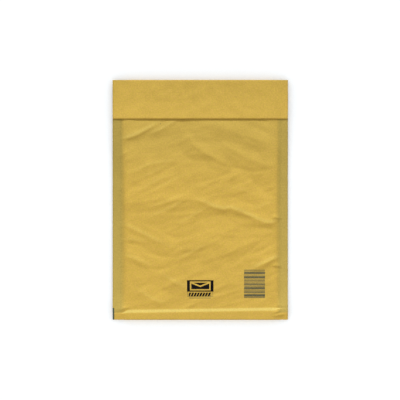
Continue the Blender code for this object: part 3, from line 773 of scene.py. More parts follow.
class Value:
    """An output socket to reckon with. Each operation on it adds a Math node."""

    def __init__(self, graph, socket):
        self.graph, self.socket = graph, socket

    __add__ = __radd__ = math_operator("ADD")
    __mul__ = __rmul__ = math_operator("MULTIPLY")
    __sub__ = math_operator("SUBTRACT")
    __rsub__ = math_operator("SUBTRACT", swapped=True)
    __truediv__ = math_operator("DIVIDE")
    __lt__ = math_operator("LESS_THAN")
    __gt__ = math_operator("GREATER_THAN")
    __abs__ = math_operator("ABSOLUTE")


class Graph:
    """Adds nodes to a node tree and joins them."""

    def __init__(self, tree):
        self.tree = tree

    def feed(self, socket, value):
        """Links the socket to a value or another socket, or sets a number or colour on it."""
        value = value.socket if isinstance(value, Value) else value
        if isinstance(value, bpy.types.NodeSocket):
            self.tree.links.new(value, socket)
        elif socket.type == "RGBA":
            socket.default_value = (*value, 1.0)
        else:
            socket.default_value = value

    def fill(self, sockets, **values):
        """Feeds the named sockets. An underscore stands for a blank in a name."""
        for name, value in values.items():
            self.feed(sockets[name.replace("_", " ")], value)

    def node(self, kind, inputs=None, **settings):
        node = self.tree.nodes.new(kind)
        for name, value in settings.items():
            setattr(node, name, value)
        for name, value in (inputs or {}).items():
            self.feed(node.inputs[name], value)
        return node

    def values(self, node):
        return {socket.name: Value(self, socket) for socket in node.outputs}

    def parts(self, vector):
        return self.values(self.node("ShaderNodeSeparateXYZ", {"Vector": vector}))

    def math(self, operation, first, second=0.0, clamp=False):
        inputs = {0: first, 1: second}
        node = self.node("ShaderNodeMath", inputs, operation=operation, use_clamp=clamp)
        return Value(self, node.outputs[0])

    def step(self, value, low, high, start=0.0, end=1.0):
        """A smooth step of value from start at low to end at high."""
        inputs = dict(enumerate((value, low, high, start, end)))
        node = self.node("ShaderNodeMapRange", inputs, interpolation_type="SMOOTHSTEP")
        return Value(self, node.outputs[0])

    def blend(self, share, first, second, kind="MIX"):
        inputs = {"Factor": share, 6: first, 7: second}
        node = self.node("ShaderNodeMix", inputs, data_type="RGBA", blend_type=kind)
        return Value(self, node.outputs[2])

    def shaded(self, color, tone):
        """The colour times a grey of that tone."""
        grey = self.node("ShaderNodeCombineColor", {0: tone, 1: tone, 2: tone})
        return self.blend(1.0, color, grey.outputs[0], "MULTIPLY")

    def noise(self, vector, scale, detail=2.0, roughness=0.5):
        inputs = {"Vector": vector, "Scale": scale, "Detail": detail, "Roughness": roughness}
        return self.values(self.node("ShaderNodeTexNoise", inputs))["Fac"]

    def stretched(self, vector, scale, detail, roughness=0.5, turn=0.0):
        """Noise with a scale for each of X, Y and Z, turned about Z."""
        inputs = {"Vector": vector, "Rotation": (0.0, 0.0, turn), "Scale": scale}
        mapped = self.node("ShaderNodeMapping", inputs).outputs[0]
        return self.noise(mapped, 1.0, detail, roughness)

    def bump(self, height, distance):
        inputs = {"Height": height, "Strength": 1.0, "Distance": distance}
        return self.node("ShaderNodeBump", inputs).outputs["Normal"]

    def group(self, name, **inputs):
        """The outputs of a shared group, which is made when it is first asked for."""
        tree = bpy.data.node_groups.get(name) or GROUPS[name](name)
        node = self.node("ShaderNodeGroup", node_tree=tree)
        self.fill(node.inputs, **inputs)
        return self.values(node)


def new_group(name, inputs, outputs):
    """An empty node group with a vector, the named numbers with their defaults, and outputs."""
    tree = bpy.data.node_groups.new(name, "ShaderNodeTree")
    tree.interface.new_socket("Vector", in_out="INPUT", socket_type="NodeSocketVector")
    for label, default in inputs.items():
        socket = tree.interface.new_socket(label, in_out="INPUT", socket_type="NodeSocketFloat")
        socket.default_value = default
    for label in outputs:
        tree.interface.new_socket(label, in_out="OUTPUT", socket_type="NodeSocketFloat")
    graph = Graph(tree)
    given = graph.values(graph.node("NodeGroupInput"))
    return graph, given, graph.node("NodeGroupOutput").inputs


def fibre_group(name):
    """Paper fibre: long strands, short flecks and broad clouds, and where it looks warmer."""
    graph, given, out = new_group(name, {"Contrast": 1.0}, ("Tone", "Height", "Hue"))
    where = given["Vector"]
    weave = graph.stretched(where, (1500.0, 330.0, 1.0), 3.0, 0.6)
    weave += graph.stretched(where, (430.0, 1300.0, 1.0), 3.0, 0.6, turn=0.9)
    tone = (weave - 1.0) * FIBRE_TONE
    clouds = ((620.0, 2.0, 0.6, 0.40), (75.0, 4.0, 0.55, 0.18), (22.0, 2.0, 0.5, 0.12))
    for scale, detail, roughness, share in clouds:
        tone += (graph.noise(where, scale, detail, roughness) - 0.5) * share
    fleck = graph.stretched(where, (900.0, 260.0, 1.0), 1.0, turn=0.4)
    tone -= graph.step(fleck, 0.70, 0.78) * FLECK_TONE
    hue = graph.noise(where, 330.0, 4.0, 0.6)
    graph.fill(out, Tone=tone * given["Contrast"] + 1.0, Height=weave * 0.5, Hue=hue)
    return graph.tree


def box_group(name):
    """1 inside a printed box and 0 outside it, with the slight bleed of ink into paper."""
    edges = {"Left": 0.0, "Right": 0.0, "Bottom": 0.0, "Top": 0.0}
    graph, given, out = new_group(name, {**edges, "Bleed": INK_BLEED}, ("Mask",))
    at = graph.parts(given["Vector"])
    uneven = (graph.noise(given["Vector"], 2600.0) - 0.5) * INK_UNEVENNESS
    x, y = at["X"] + uneven, at["Y"] + uneven
    inside = x - given["Left"]
    for past in (given["Right"] - x, y - given["Bottom"], given["Top"] - y):
        inside = graph.math("MINIMUM", inside, past)
    graph.fill(out, Mask=graph.math("ADD", inside / given["Bleed"], 0.5, clamp=True))
    return graph.tree


def weld_group(name):
    """The welded strips along both sides of the sheet, up to the flap, their fine ribs, and
    painted shade in the crease at the foot of the left shoulder.
    """
    sizes = {"Half Width": 0.1, "Half Height": 0.1368, "Flap Start": -0.42}
    graph, given, out = new_group(name, sizes, ("Mask", "Tone", "Ribs"))
    where = given["Vector"]
    at = graph.parts(where)
    across = at["X"] + (graph.noise(where, 420.0, 3.0) - 0.5) * WELD_UNEVENNESS
    left, right = given["Half Width"] + across, given["Half Width"] - across
    above_fold = at["Y"] + given["Half Height"]
    up = graph.math("DIVIDE", above_fold, 2 * COVER_HIGH.y, clamp=True)
    width = up * (WELD_RIGHT_TOP - WELD_RIGHT_BOTTOM) + WELD_RIGHT_BOTTOM
    left_side = graph.step(left, WELD_LEFT - WELD_FADE, WELD_LEFT + WELD_FADE, 1.0, 0.0)
    right_side = graph.step(right - width, -WELD_FADE, WELD_FADE, 1.0, 0.0)
    mask = graph.math("MAXIMUM", left_side, right_side) * (at["Y"] > given["Flap Start"])
    mask *= graph.step(abs(above_fold) - WELD_ABOVE_FOLD, -WELD_END_FADE, WELD_END_FADE)
    tone = graph.step(right, RIGHT_STRIP - MM, RIGHT_STRIP + MM, 1.0, 0.0) * RIGHT_STRIP_LIGHT
    # Painted shade in the crease at the foot of the left shoulder
    line = graph.step(abs(left - FOOT_LINE), FOOT_LINE_CORE, FOOT_LINE_EDGE, 1.0, 0.0)
    line *= graph.step(graph.noise(where, 330.0, 2.0), 0.42, 0.60, 0.3, 1.7)
    tone -= line * FOOT_LINE_PAINTED_SHADE
    darkening = graph.step(up, 0.0, 1.0, 0.0, WELD_DARKENING)
    tone -= darkening * graph.step(at["X"], -MM, MM, 1.0, RIGHT_SHARE)
    ribs = graph.math("SINE", at["Y"] * (math.tau / RIB_PITCH))
    graph.fill(out, Mask=mask, Tone=tone * mask, Ribs=ribs * mask)
    return graph.tree


def bars_group(name):
    """Stacked bars of uneven thickness that stand for no number, one in every few modules."""
    graph, given, out = new_group(name, {"Module": BAR_MODULE}, ("Mask",))
    at = graph.parts(given["Vector"])["Y"] / (given["Module"] * BAR_STEP)
    inputs = {"W": graph.math("FLOOR", at)}
    white = graph.node("ShaderNodeTexWhiteNoise", inputs, noise_dimensions="1D")
    share = graph.values(white)["Value"] * (BAR_MOST - BAR_LEAST) + BAR_LEAST
    graph.fill(out, Mask=graph.math("FRACT", at) < share)
    return graph.tree


def sign_group(name):
    """A plain drawing of an envelope in outline: a box and the two lines of its flap."""
    sizes = {"Half Width": 11 * MM, "Half Height": 4.4 * MM, "Line": 0.75 * MM}
    graph, given, out = new_group(name, sizes, ("Mask",))
    at = graph.parts(given["Vector"])
    x, y = abs(at["X"]), abs(at["Y"])
    past = graph.math("MAXIMUM", x - given["Half Width"], y - given["Half Height"])
    flap = (x / given["Half Width"] - SIGN_TIP_BELOW) * given["Half Height"]
    flap = abs(at["Y"] - flap) < given["Line"] * SIGN_FLAP_WEIGHT
    flap *= past < 0.0
    graph.fill(out, Mask=graph.math("MAXIMUM", abs(past) < given["Line"], flap))
    return graph.tree


GROUPS = {
    "Paper Fibre": fibre_group,
    "Side Weld": weld_group,
    "Printed Box": box_group,
    "Stacked Bars": bars_group,
    "Envelope Outline": sign_group,
}


def new_material(name):
    material = bpy.data.materials.new(name)
    material.use_nodes = True
    graph = Graph(material.node_tree)
    return material, graph, material.node_tree.nodes["Principled BSDF"].inputs


def kraft_outside(settings, section, web_start, flap_start):
    """Printed golden kraft, with its welded seams."""
    material, graph, shader = new_material("Kraft outside")
    where = graph.node("ShaderNodeUVMap", uv_map="Web").outputs["UV"]
    at = graph.parts(where)
    fibre = graph.group("Paper Fibre", Vector=where, Contrast=OUTSIDE_CONTRAST)
    weld = graph.group(
        "Side Weld", Vector=where, Half_Width=section.half_width,
        Half_Height=section.half_height, Flap_Start=flap_start,
    )
    crease = graph.values(graph.node("ShaderNodeAttribute", attribute_name="Crease"))["Fac"]
    on_flap = at["Y"] < flap_start

    warm = graph.step(fibre["Hue"], 0.35, 0.65)
    color = graph.blend(warm, settings.kraft, settings.warm_kraft)
    olive = graph.step(at["Y"], 0.0, UPPER_OLIVE_RUN * section.half_height, 0.0, UPPER_OLIVE)
    olive += on_flap * (FLAP_OLIVE - olive)
    # Weld colour on the strips: partly their own olive tone, partly painted shade of the low
    # strips
    color = graph.blend(graph.math("MAXIMUM", weld["Mask"], olive), color, settings.weld)
    highlighted = graph.math("MULTIPLY", crease, HIGHLIGHT_COLOR_SHARE, clamp=True)
    # Painted highlight: a paler colour on the lit upper side of folds and on the roll's flank
    color = graph.blend(highlighted, color, settings.crease)
    tone = fibre["Tone"] + weld["Ribs"] * RIB_TONE + weld["Tone"]
    # Painted shade: the flap darkens from its free edge toward its fold
    tone -= graph.step(at["Y"], web_start, flap_start, 0.0, FLAP_PAINTED_SHADE) * on_flap
    tone += graph.step(at["Y"], -section.half_height, 0.0, LOWER_LIGHT, 0.0)
    tone += graph.step(at["X"], -section.half_width, 0.0, LEFT_LIGHT, 0.0)
    # Painted highlight along the flap's free edge
    tone += graph.step(at["Y"], web_start, web_start + FLAP_EDGE_HIGHLIGHT_RUN, FLAP_EDGE_HIGHLIGHT, 0.0)
    color = graph.shaded(color, tone)

    def printed(left, right, bottom, top):
        box = graph.group(
            "Printed Box", Vector=where, Left=left, Right=right, Bottom=bottom, Top=top
        )
        return box["Mask"]

    inputs = {0: where, 1: MARK_CENTRE}
    centred = graph.node("ShaderNodeVectorMath", inputs, operation="SUBTRACT").outputs[0]
    sign = graph.group("Envelope Outline", Vector=centred)["Mask"]
    mark = graph.math("SUBTRACT", printed(*MARK), sign, clamp=True)
    stroke = graph.math("FRACT", (at["X"] - at["Y"] * STROKE_LEAN) / STROKE_PITCH)
    mark = graph.math("MAXIMUM", mark, printed(*STROKES) * (stroke < STROKE_SHARE))
    edge = graph.math("SUBTRACT", printed(*STROKES_FRAME), printed(*WITHIN_FRAME), clamp=True)
    bars = graph.group("Stacked Bars", Vector=where)["Mask"] * printed(*BARS)
    eye = printed(
        -section.half_width - MM, -section.half_width + EYE_MARK_WIDTH,
        -section.half_height - EYE_MARK_PAST_EDGE, -section.half_height + EYE_MARK_HEIGHT,
    )
    for mask, ink, cover in (
        (printed(*SPECK), settings.bar_ink, 0.6), (edge, settings.bar_ink, 0.6),
        (bars, settings.bar_ink, 0.97), (printed(*FINE_RULE), settings.bar_ink, 0.5),
        (eye, settings.eye_ink, 0.9), (mark, settings.black_ink, 1.0),
    ):
        color = graph.blend(mask * cover, color, ink)

    rough = (fibre["Height"] - 0.5) * FIBRE_ROUGHNESS + PAPER_ROUGHNESS
    height = fibre["Height"] + weld["Ribs"] * RIB_HEIGHT
    graph.fill(
        shader, Base_Color=color, Roughness=rough - weld["Mask"] * WELD_SMOOTHNESS,
        Specular_IOR_Level=PAPER_SPECULAR, Normal=graph.bump(height, FIBRE_DEPTH),
    )
    return material


def kraft_inside(settings):
    """The unprinted side of the sheet and its cut edges."""
    material, graph, shader = new_material("Kraft inside")
    where = graph.node("ShaderNodeUVMap", uv_map="Web").outputs["UV"]
    fibre = graph.group("Paper Fibre", Vector=where, Contrast=INSIDE_CONTRAST)
    graph.fill(
        shader, Base_Color=graph.shaded(settings.kraft, fibre["Tone"]),
        Roughness=INSIDE_ROUGHNESS, Specular_IOR_Level=PAPER_SPECULAR,
        Normal=graph.bump(fibre["Height"], FIBRE_DEPTH),
    )
    return material


def build_kraft(context):
    sizes = context.scene.envelope_cover
    section = Section(sizes)
    places, crease, along, length = kraft_places(section)
    mesh, row, column = placed_grid("kraft_sheet", places)
    web = mesh.uv_layers.new(name="Web")
    corner = np.zeros(len(mesh.loops), int)
    mesh.loops.foreach_get("vertex_index", corner)
    flat = np.stack([places[row, column, 0], along[row, column]], axis=-1)[corner]
    web.data.foreach_set("uv", flat.astype(np.float32).ravel())
    # The painted highlight, kept on the points for the material
    highlight_values = mesh.attributes.new("Crease", "FLOAT", "POINT")
    highlight_values.data.foreach_set("value", crease[row, column].astype(np.float32))
    flap_start = float(along[FLAP_ROWS + TOP_FOLD_ROWS // 2, 0])
    materials = [
        kraft_outside(sizes, section, float(along[0, 0]), flap_start),
        kraft_inside(sizes),
    ]
    sheet = new_piece("kraft_sheet", mesh, materials)
    solidify = give_thickness(sheet, PAPER)
    solidify.material_offset = 1
    solidify.material_offset_rim = 1
    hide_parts("kraft_cover")
    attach(sheet, BODY)


def length_setting(name, default, description):
    return FloatProperty(
        name=name, description=description, subtype="DISTANCE", unit="LENGTH", default=default,
        precision=4,
    )


def share_setting(name, default, description, most=1.0):
    return FloatProperty(
        name=name, description=description, subtype="FACTOR", default=default, min=0.0, max=most
    )


def angle_setting(name, degrees, description):
    return FloatProperty(
        name=name, description=description, subtype="ANGLE", default=math.radians(degrees)
    )


def color_setting(name, default, description, most=1.0):
    return FloatVectorProperty(
        name=name, description=description, subtype="COLOR", size=3, default=default, min=0.0,
        max=most,
    )


class EnvelopeCoverSettings(PropertyGroup):
    """Sizes and colours of the kraft sheet."""

    width: length_setting(
        "Width", COVER_HIGH.x - COVER_LOW.x, "Width from seam edge to seam edge")
    height: length_setting(
        "Height", COVER_HIGH.y - COVER_LOW.y, "Height from the bottom fold to the flap's fold")
    flap_depth: length_setting(
        "Flap depth", 44.5 * MM, "How far the folded flap reaches down the front")
    fold_strength: share_setting(
        "Fold strength", 1.0, "How deep the folds in the front paper are", most=1.5)
    kraft: color_setting("Kraft", (0.620, 0.418, 0.070), "Colour of the paper")
    warm_kraft: color_setting("Warm kraft", (0.636, 0.409, 0.082), "Colour of its warmer clouds")
    # Colour of the painted highlight on the lit side of folds
    crease: color_setting(
        "Crease", (0.640, 0.488, 0.124), "Colour of the painted highlight on the lit side of folds")
    # Partly the welded strips' own olive, partly painted shade of the low strips
    weld: color_setting(
        "Weld", (0.500, 0.362, 0.080), "Colour of the paper where it is welded to the film")
    black_ink: color_setting("Black ink", (0.004, 0.003, 0.003), "Ink of the printed mark")
    bar_ink: color_setting("Bar ink", (0.024, 0.058, 0.058), "Ink of the stacked bars")
    eye_ink: color_setting("Eye mark ink", (0.03, 0.075, 0.07), "Ink of the mark at the left edge")


class ENVELOPE_OT_kraft(Operator):
    """Make the folded and printed kraft sheet"""

    bl_idname = "envelope.kraft"
    bl_label = "Kraft sheet"

    def execute(self, context):
        build_kraft(context)
        return {"FINISHED"}


# The pouch of bubble film
POUCH_COLUMNS = (2, 6, 24)
POUCH_ROWS = 60
POUCH_FOLD_ROWS = 8
POUCH_BOTTOM = PAPER + LAYER_GAP + 1.2 * MM
POUCH_TURN = 2.0 * MM
BUBBLE_SEGMENTS, BUBBLE_RINGS = 10, 6
BUBBLE_OUTER_SHARE = 0.7


def pouch_places(section):
    """Points of the smooth film, from the mouth down the back, round the end and up the front."""
    line = columns(section, section.half_width - LAYER_GAP, *POUCH_COLUMNS)
    start = -section.half_height + POUCH_BOTTOM + POUCH_TURN

    def at(y, side):
        x, y = line[None, :] + 0 * y, y + 0 * line[None, :]
        return np.stack([x, y, section.film(x, y, side)], axis=-1)

    s = steps(POUCH_ROWS)
    back = at(between(section.lining_mouth_y, start, s), -1)
    front = at(between(start, section.lining_mouth_y, s), 1)
    depth, height = fold_outline(steps(POUCH_FOLD_ROWS)[1:-1])
    turn = at(start - POUCH_TURN * depth, height)
    return np.concatenate([back, turn, front])


def bubble_wall(section, sizes, upper):
    """Bubbles on one wall's outer side, in rows that lie in each other's gaps, each as tall as the
    paper over it allows."""
    pitch, radius = sizes.bubble_pitch, sizes.bubble_width / 2
    row_pitch = pitch * math.sqrt(3) / 2
    bottom = -section.half_height + ROLL_RIGHT
    pairs = int((section.lining_mouth_y - bottom) / row_pitch / 2)
    reach = section.half_width - max(LEFT_FOOT, RIGHT_FOOT)
    across = int((reach - radius) / pitch)
    bm = bmesh.new()
    bmesh.ops.create_uvsphere(
        bm, u_segments=BUBBLE_SEGMENTS, v_segments=BUBBLE_RINGS, radius=1.0)
    low = [v for v in bm.verts if v.co.z < -0.01]
    bmesh.ops.delete(bm, geom=low, context="VERTS")
    bmesh.ops.scale(bm, vec=(radius, radius, 1.0), verts=bm.verts)
    bmesh.ops.translate(bm, vec=(-across * pitch, bottom + row_pitch / 2, 0.0), verts=bm.verts)
    repeat(bm, (pitch, 0.0, 0.0), 2 * across)
    repeat(bm, (pitch / 2, row_pitch, 0.0), 1)
    repeat(bm, (0.0, 2 * row_pitch, 0.0), pairs - 1)
    past = [v for v in bm.verts if v.co.x > reach]
    bmesh.ops.delete(bm, geom=past, context="VERTS")
    side = 1 if upper else -1
    x, y, dome = np.array([vertex.co for vertex in bm.verts]).T
    row = np.rint((y - bottom) / row_pitch - 0.5)
    shift = np.where(row % 2 == 1, pitch / 2, 0.0)
    centre = np.rint((x - shift) / pitch) * pitch + shift
    far = np.sign(centre) * (np.abs(centre) + BUBBLE_OUTER_SHARE * radius)
    low, high = section.room(far, y)
    tall = np.abs((high if upper else low) - section.film(far, y, side))
    levels = section.film(x, y, side) + side * tall * dome
    for vertex, level in zip(bm.verts, levels):
        vertex.co.z = level
    if not upper:
        bmesh.ops.reverse_faces(bm, faces=bm.faces)
    return bm


def repeat(bm, step, times):
    """Copies all that is in the mesh, so many times, each a step further on."""
    first = bm.verts[:] + bm.edges[:] + bm.faces[:]
    for count in range(1, times + 1):
        made = bmesh.ops.duplicate(bm, geom=first)["geom"]
        made = [v for v in made if isinstance(v, bmesh.types.BMVert)]
        bmesh.ops.translate(bm, vec=Vector(step) * count, verts=made)


def film_material(color):
    """Clear film, a little milky, with the fine drag lines of its making."""
    material, graph, shader = new_material("Bubble film")
    where = graph.node("ShaderNodeTexCoord").outputs["Object"]
    drag = graph.stretched(where, (900.0, 60.0, 300.0), 3.0)
    cloud = graph.noise(where, 90.0, 3.0)
    graph.fill(
        shader, Base_Color=graph.shaded(color, cloud * 0.12 + 0.92), Roughness=drag * 0.18 + 0.12,
        Alpha=cloud * 0.2 + 0.3, IOR=1.5, Normal=graph.bump(drag, 0.02 * MM),
    )
    return material


def build_pouch(context):
    scene = context.scene
    section = Section(scene.envelope_cover)
    sizes = scene.envelope_lining
    mesh, _, _ = placed_grid("bubble_pouch", pouch_places(section))
    bm = bmesh.new()
    bm.from_mesh(mesh)
    bmesh.ops.solidify(bm, geom=bm.faces[:], thickness=POUCH_FILM)
    for upper in (False, True):
        wall = bubble_wall(section, sizes, upper)
        bubbles = bpy.data.meshes.new("bubbles")
        wall.to_mesh(bubbles)
        wall.free()
        bm.from_mesh(bubbles)
        bpy.data.meshes.remove(bubbles)
    bm.to_mesh(mesh)
    bm.free()
    mesh.shade_smooth()
    pouch = new_piece("bubble_pouch", mesh, [film_material(sizes.film)])
    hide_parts("bubble_lining")
    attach(pouch, BODY)


class EnvelopeLiningSettings(PropertyGroup):
    """Sizes and colour of the bubble film."""

    bubble_width: length_setting("Bubble width", 9.6 * MM, "Width of one bubble")
    bubble_pitch: length_setting("Bubble pitch", 10.9 * MM, "Distance from bubble to bubble")
    film: color_setting("Film", (0.82, 0.86, 0.88), "Colour of the clear film")


class ENVELOPE_OT_pouch(Operator):
    """Make the pouch of bubble film between the papers"""

    bl_idname = "envelope.pouch"
    bl_label = "Bubble film pouch"

    def execute(self, context):
        build_pouch(context)
        return {"FINISHED"}


# The closure under the flap
CLOSURE_COLUMNS = 150
CLOSURE_ROWS = 12
EDGE_WAVES = 5
ADHESIVE_UNEVENNESS = 0.5 * MM


def strip_places(section, bottom, top, below, uneven, seed):
    """Points of a strip that follows the inside of the flap, with slightly uneven long edges."""
    random = np.random.default_rng(seed)
    half = section.half_width - LAYER_GAP
    x = np.linspace(-half, half, CLOSURE_COLUMNS + 1)[None, :]
    edges = []
    for _ in range(2):
        wave = sum(
            np.sin(x / (random.uniform(4, 20) * MM) + random.uniform(0, 6))
            for _ in range(EDGE_WAVES)
        )
        edges.append(uneven * wave / EDGE_WAVES)
    y = between(bottom + edges[0], top + edges[1], steps(CLOSURE_ROWS))
    x = x + 0 * y
    return np.stack([x, y, section.flap_level(x, y) - below], axis=-1)


def adhesive_material(color):
    """Hot-melt adhesive: glossy, with the lines that its nozzle leaves."""
    material, graph, shader = new_material("Adhesive")
    where = graph.node("ShaderNodeTexCoord").outputs["Object"]
    lines = graph.stretched(where, (40.0, 1500.0, 1.0), 2.0)
    tone = graph.noise(where, 160.0, 3.0) * 0.3 + 0.83
    graph.fill(
        shader, Base_Color=graph.shaded(color, tone), Roughness=lines * 0.2 + 0.1,
        Normal=graph.bump(lines, 0.05 * MM),
    )
    return material


def liner_material(color):
    """Siliconed release paper: off-white, satin, with faint fibre."""
    material, graph, shader = new_material("Release liner")
    where = graph.node("ShaderNodeTexCoord").outputs["Object"]
    fibre = graph.group("Paper Fibre", Vector=where, Contrast=LINER_CONTRAST)
    graph.fill(
        shader, Base_Color=graph.shaded(color, fibre["Tone"]),
        Roughness=fibre["Height"] * 0.15 + 0.25, Coat_Weight=0.3,
        Normal=graph.bump(fibre["Height"], 0.015 * MM),
    )
    return material


def build_closure(context):
    scene = context.scene
    section = Section(scene.envelope_cover)
    sizes = scene.envelope_closure
    adhesive_below = PAPER / 2 + STRIP / 2 + STRIP_ROOM
    liner_below = adhesive_below + STRIP + STRIP_ROOM
    strips = (
        ("adhesive_line", "adhesive_strip", "adhesive", adhesive_material(sizes.adhesive),
         ADHESIVE_LOW, ADHESIVE_HIGH, adhesive_below, ADHESIVE_UNEVENNESS, 3),
        ("liner_tape", "release_liner", "release_liner", liner_material(sizes.liner),
         LINER_LOW, LINER_HIGH, liner_below, 0.0, 4),
    )
    for name, node, slot, material, low, high, below, uneven, seed in strips:
        places = strip_places(section, low.y, high.y, below, uneven, seed)
        mesh, _, _ = placed_grid(name, places)
        strip = new_piece(name, mesh, [material])
        give_thickness(strip, STRIP)
        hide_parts(node)
        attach(strip, BODY)


class EnvelopeClosureSettings(PropertyGroup):
    """Colours of the closure."""

    adhesive: color_setting("Adhesive", (0.80, 0.76, 0.62), "Colour of the adhesive")
    liner: color_setting("Liner", (0.86, 0.84, 0.78), "Colour of the release liner")


class ENVELOPE_OT_closure(Operator):
    """Make the adhesive on the inside of the flap and its release liner"""

    bl_idname = "envelope.closure"
    bl_label = "Adhesive and liner"

    def execute(self, context):
        build_closure(context)
        return {"FINISHED"}


# The stage
OUTLINE_LEVEL = 4.5 * MM
FLOOR_LEVEL = -0.05 * MM
SENSOR = 36.0
CAMERA_AT = mm(-0.28, -0.08)
CLIP_START, CLIP_END = 0.1, 100.0
WHITE = (1.0, 1.0, 1.0)
COOL_WHITE = (0.95, 0.975, 1.0)
OVERHEAD = math.pi / 2
FLOOR_LAMP_ANGLE = math.radians(170)


def seen_rays(graph):
    """1 for camera, glossy and transmission rays, and 0 for the light that falls on things."""
    path = graph.values(graph.node("ShaderNodeLightPath"))
    seen = graph.math("MAXIMUM", path["Is Camera Ray"], path["Is Glossy Ray"])
    return graph.math("MAXIMUM", seen, path["Is Transmission Ray"])


def add_sun(name, share, angle, elevation, color=WHITE):
    """A broad lamp at an elevation over the flap's end, which gives its share of the light on a
    level face. None of its light bounces."""
    lamp = bpy.data.lights.new(name, "SUN")
    lamp.energy = math.pi * share / math.sin(elevation)
    lamp.angle = angle
    lamp.color = color
    lamp.cycles.max_bounces = 0
    sun = bpy.data.objects.new(name, lamp)
    bpy.context.scene.collection.objects.link(sun)
    toward = Vector((0.0, -math.cos(elevation), -math.sin(elevation)))
    sun.rotation_mode = "QUATERNION"
    sun.rotation_quaternion = toward.to_track_quat("-Z", "Y")
    sun.location = -toward
    return sun


def add_floor(sizes):
    ends = (-sizes.floor_size / 2, sizes.floor_size / 2)
    places = np.array([[(x, y, FLOOR_LEVEL) for x in ends] for y in ends])
    mesh, _, _ = placed_grid("floor", places)
    material, graph, shader = new_material("Floor")
    graph.fill(
        shader, Base_Color=[sizes.floor_tone * share for share in COOL_WHITE], Roughness=1.0,
        Specular_IOR_Level=0.0, Emission_Color=COOL_WHITE,
        Emission_Strength=seen_rays(graph) * sizes.floor_glow,
    )
    return new_piece("floor", mesh, [material])


def light_stage(scene, sizes, floor):
    """Light from all round, a cool key lamp and a small one overhead, which come to white on a
    level face. The floor has a broad lamp of its own in place of the key lamp."""
    top_share = 1.0 - sizes.world_share - sizes.key_share
    world = bpy.data.worlds.new("Studio")
    scene.world = world
    world.use_nodes = True
    world.cycles.max_bounces = 0
    graph = Graph(world.node_tree)
    fill = [(1.0 - top_share - sizes.key_share * tint) / sizes.world_share
            for tint in sizes.key_color]
    seen = seen_rays(graph)
    graph.fill(
        world.node_tree.nodes["Background"].inputs, Color=graph.blend(seen, fill, WHITE),
        Strength=seen * (1.0 - sizes.world_share) + sizes.world_share,
    )

    key = add_sun("key", sizes.key_share, sizes.key_angle, sizes.key_elevation, sizes.key_color)
    spared = bpy.data.collections.new("Not lit by the key lamp")
    spared.objects.link(floor)
    spared.collection_objects[0].light_linking.link_state = "EXCLUDE"
    key.light_linking.receiver_collection = spared
    add_sun("overhead", top_share, sizes.top_angle, OVERHEAD)
    lamp = add_sun("floor lamp", sizes.key_share, FLOOR_LAMP_ANGLE, OVERHEAD, sizes.key_color)
    lit_floor = bpy.data.collections.new("Lit by the floor lamp")
    lit_floor.objects.link(floor)
    lamp.light_linking.receiver_collection = lit_floor


def add_camera(scene, sizes):
    camera = bpy.data.cameras.new("camera")
    camera.sensor_width = SENSOR
    camera.lens = SENSOR * (sizes.camera_height - OUTLINE_LEVEL) / sizes.view_width
    camera.clip_start, camera.clip_end = CLIP_START, CLIP_END
    viewer = bpy.data.objects.new("camera", camera)
    viewer.location = (*CAMERA_AT, sizes.camera_height)
    scene.collection.objects.link(viewer)
    scene.camera = viewer


def build_stage(context):
    scene = context.scene
    sizes = scene.envelope_stage
    floor = add_floor(sizes)
    light_stage(scene, sizes, floor)
    add_camera(scene, sizes)
    scene.view_settings.view_transform = "Standard"


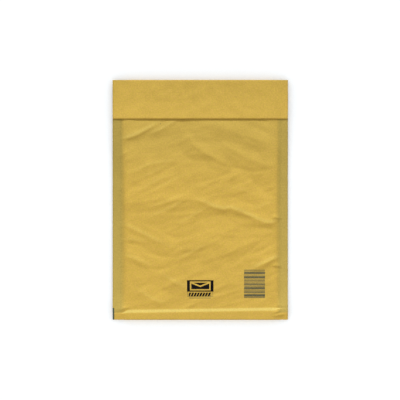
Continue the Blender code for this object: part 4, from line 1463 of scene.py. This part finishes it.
class EnvelopeStageSettings(PropertyGroup):
    """Floor, lamps and camera."""

    floor_size: length_setting("Floor size", 12.0, "Side of the floor")
    floor_tone: share_setting(
        "Floor tone", 1.0, "How much of the lamps' light the floor gives back")
    floor_glow: share_setting(
        "Floor glow", 0.10, "White that the floor shows besides the lamps' light")
    world_share: share_setting(
        "World share", 0.56, "Part of the light that comes from all round")
    key_share: share_setting(
        "Key share", 0.41, "Part of the light that comes from the low key lamp")
    key_color: color_setting(
        "Key colour", (0.93, 1.01, 1.16),
        "Colour of the key lamp; the world's light makes up for it", most=2.0)
    key_elevation: angle_setting(
        "Key elevation", 30, "Height of the key lamp over the horizon")
    key_angle: angle_setting("Key angle", 9, "How broad the key lamp looks")
    top_angle: angle_setting("Overhead angle", 60, "How broad the overhead lamp looks")
    camera_height: length_setting(
        "Camera height", 2.0, "Height of the camera over the floor")
    view_width: length_setting(
        "View width", 0.4565, "Width that the camera takes in at the envelope")


class ENVELOPE_OT_stage(Operator):
    """Make the floor, the lamps, the world and the camera"""

    bl_idname = "envelope.stage"
    bl_label = "Stage"

    def execute(self, context):
        build_stage(context)
        return {"FINISHED"}


class ENVELOPE_PT_panel(Panel):
    """The envelope's operators and settings"""

    bl_idname = "ENVELOPE_PT_panel"
    bl_label = "Padded envelope"
    bl_space_type = "VIEW_3D"
    bl_region_type = "UI"
    bl_category = "Envelope"

    def draw(self, context):
        scene = context.scene
        for operator, settings in (
            ("envelope.stage", scene.envelope_stage),
            ("envelope.kraft", scene.envelope_cover),
            ("envelope.pouch", scene.envelope_lining),
            ("envelope.closure", scene.envelope_closure),
        ):
            box = self.layout.box()
            box.operator(operator)
            for name in settings.__annotations__:
                box.prop(settings, name)


SETTINGS = {
    "envelope_cover": EnvelopeCoverSettings,
    "envelope_lining": EnvelopeLiningSettings,
    "envelope_closure": EnvelopeClosureSettings,
    "envelope_stage": EnvelopeStageSettings,
}
CLASSES = (
    *SETTINGS.values(),
    ENVELOPE_OT_kraft,
    ENVELOPE_OT_pouch,
    ENVELOPE_OT_closure,
    ENVELOPE_OT_stage,
    ENVELOPE_PT_panel,
)


def register():
    for made in CLASSES:
        bpy.utils.register_class(made)
    for name, kind in SETTINGS.items():
        setattr(bpy.types.Scene, name, PointerProperty(type=kind))


def unregister():
    for name in SETTINGS:
        delattr(bpy.types.Scene, name)
    for made in reversed(CLASSES):
        bpy.utils.unregister_class(made)


def main():
    register()
    bpy.ops.envelope.stage()
    bpy.ops.envelope.pouch()
    bpy.ops.envelope.kraft()
    bpy.ops.envelope.closure()


if __name__ == "__main__":
    main()
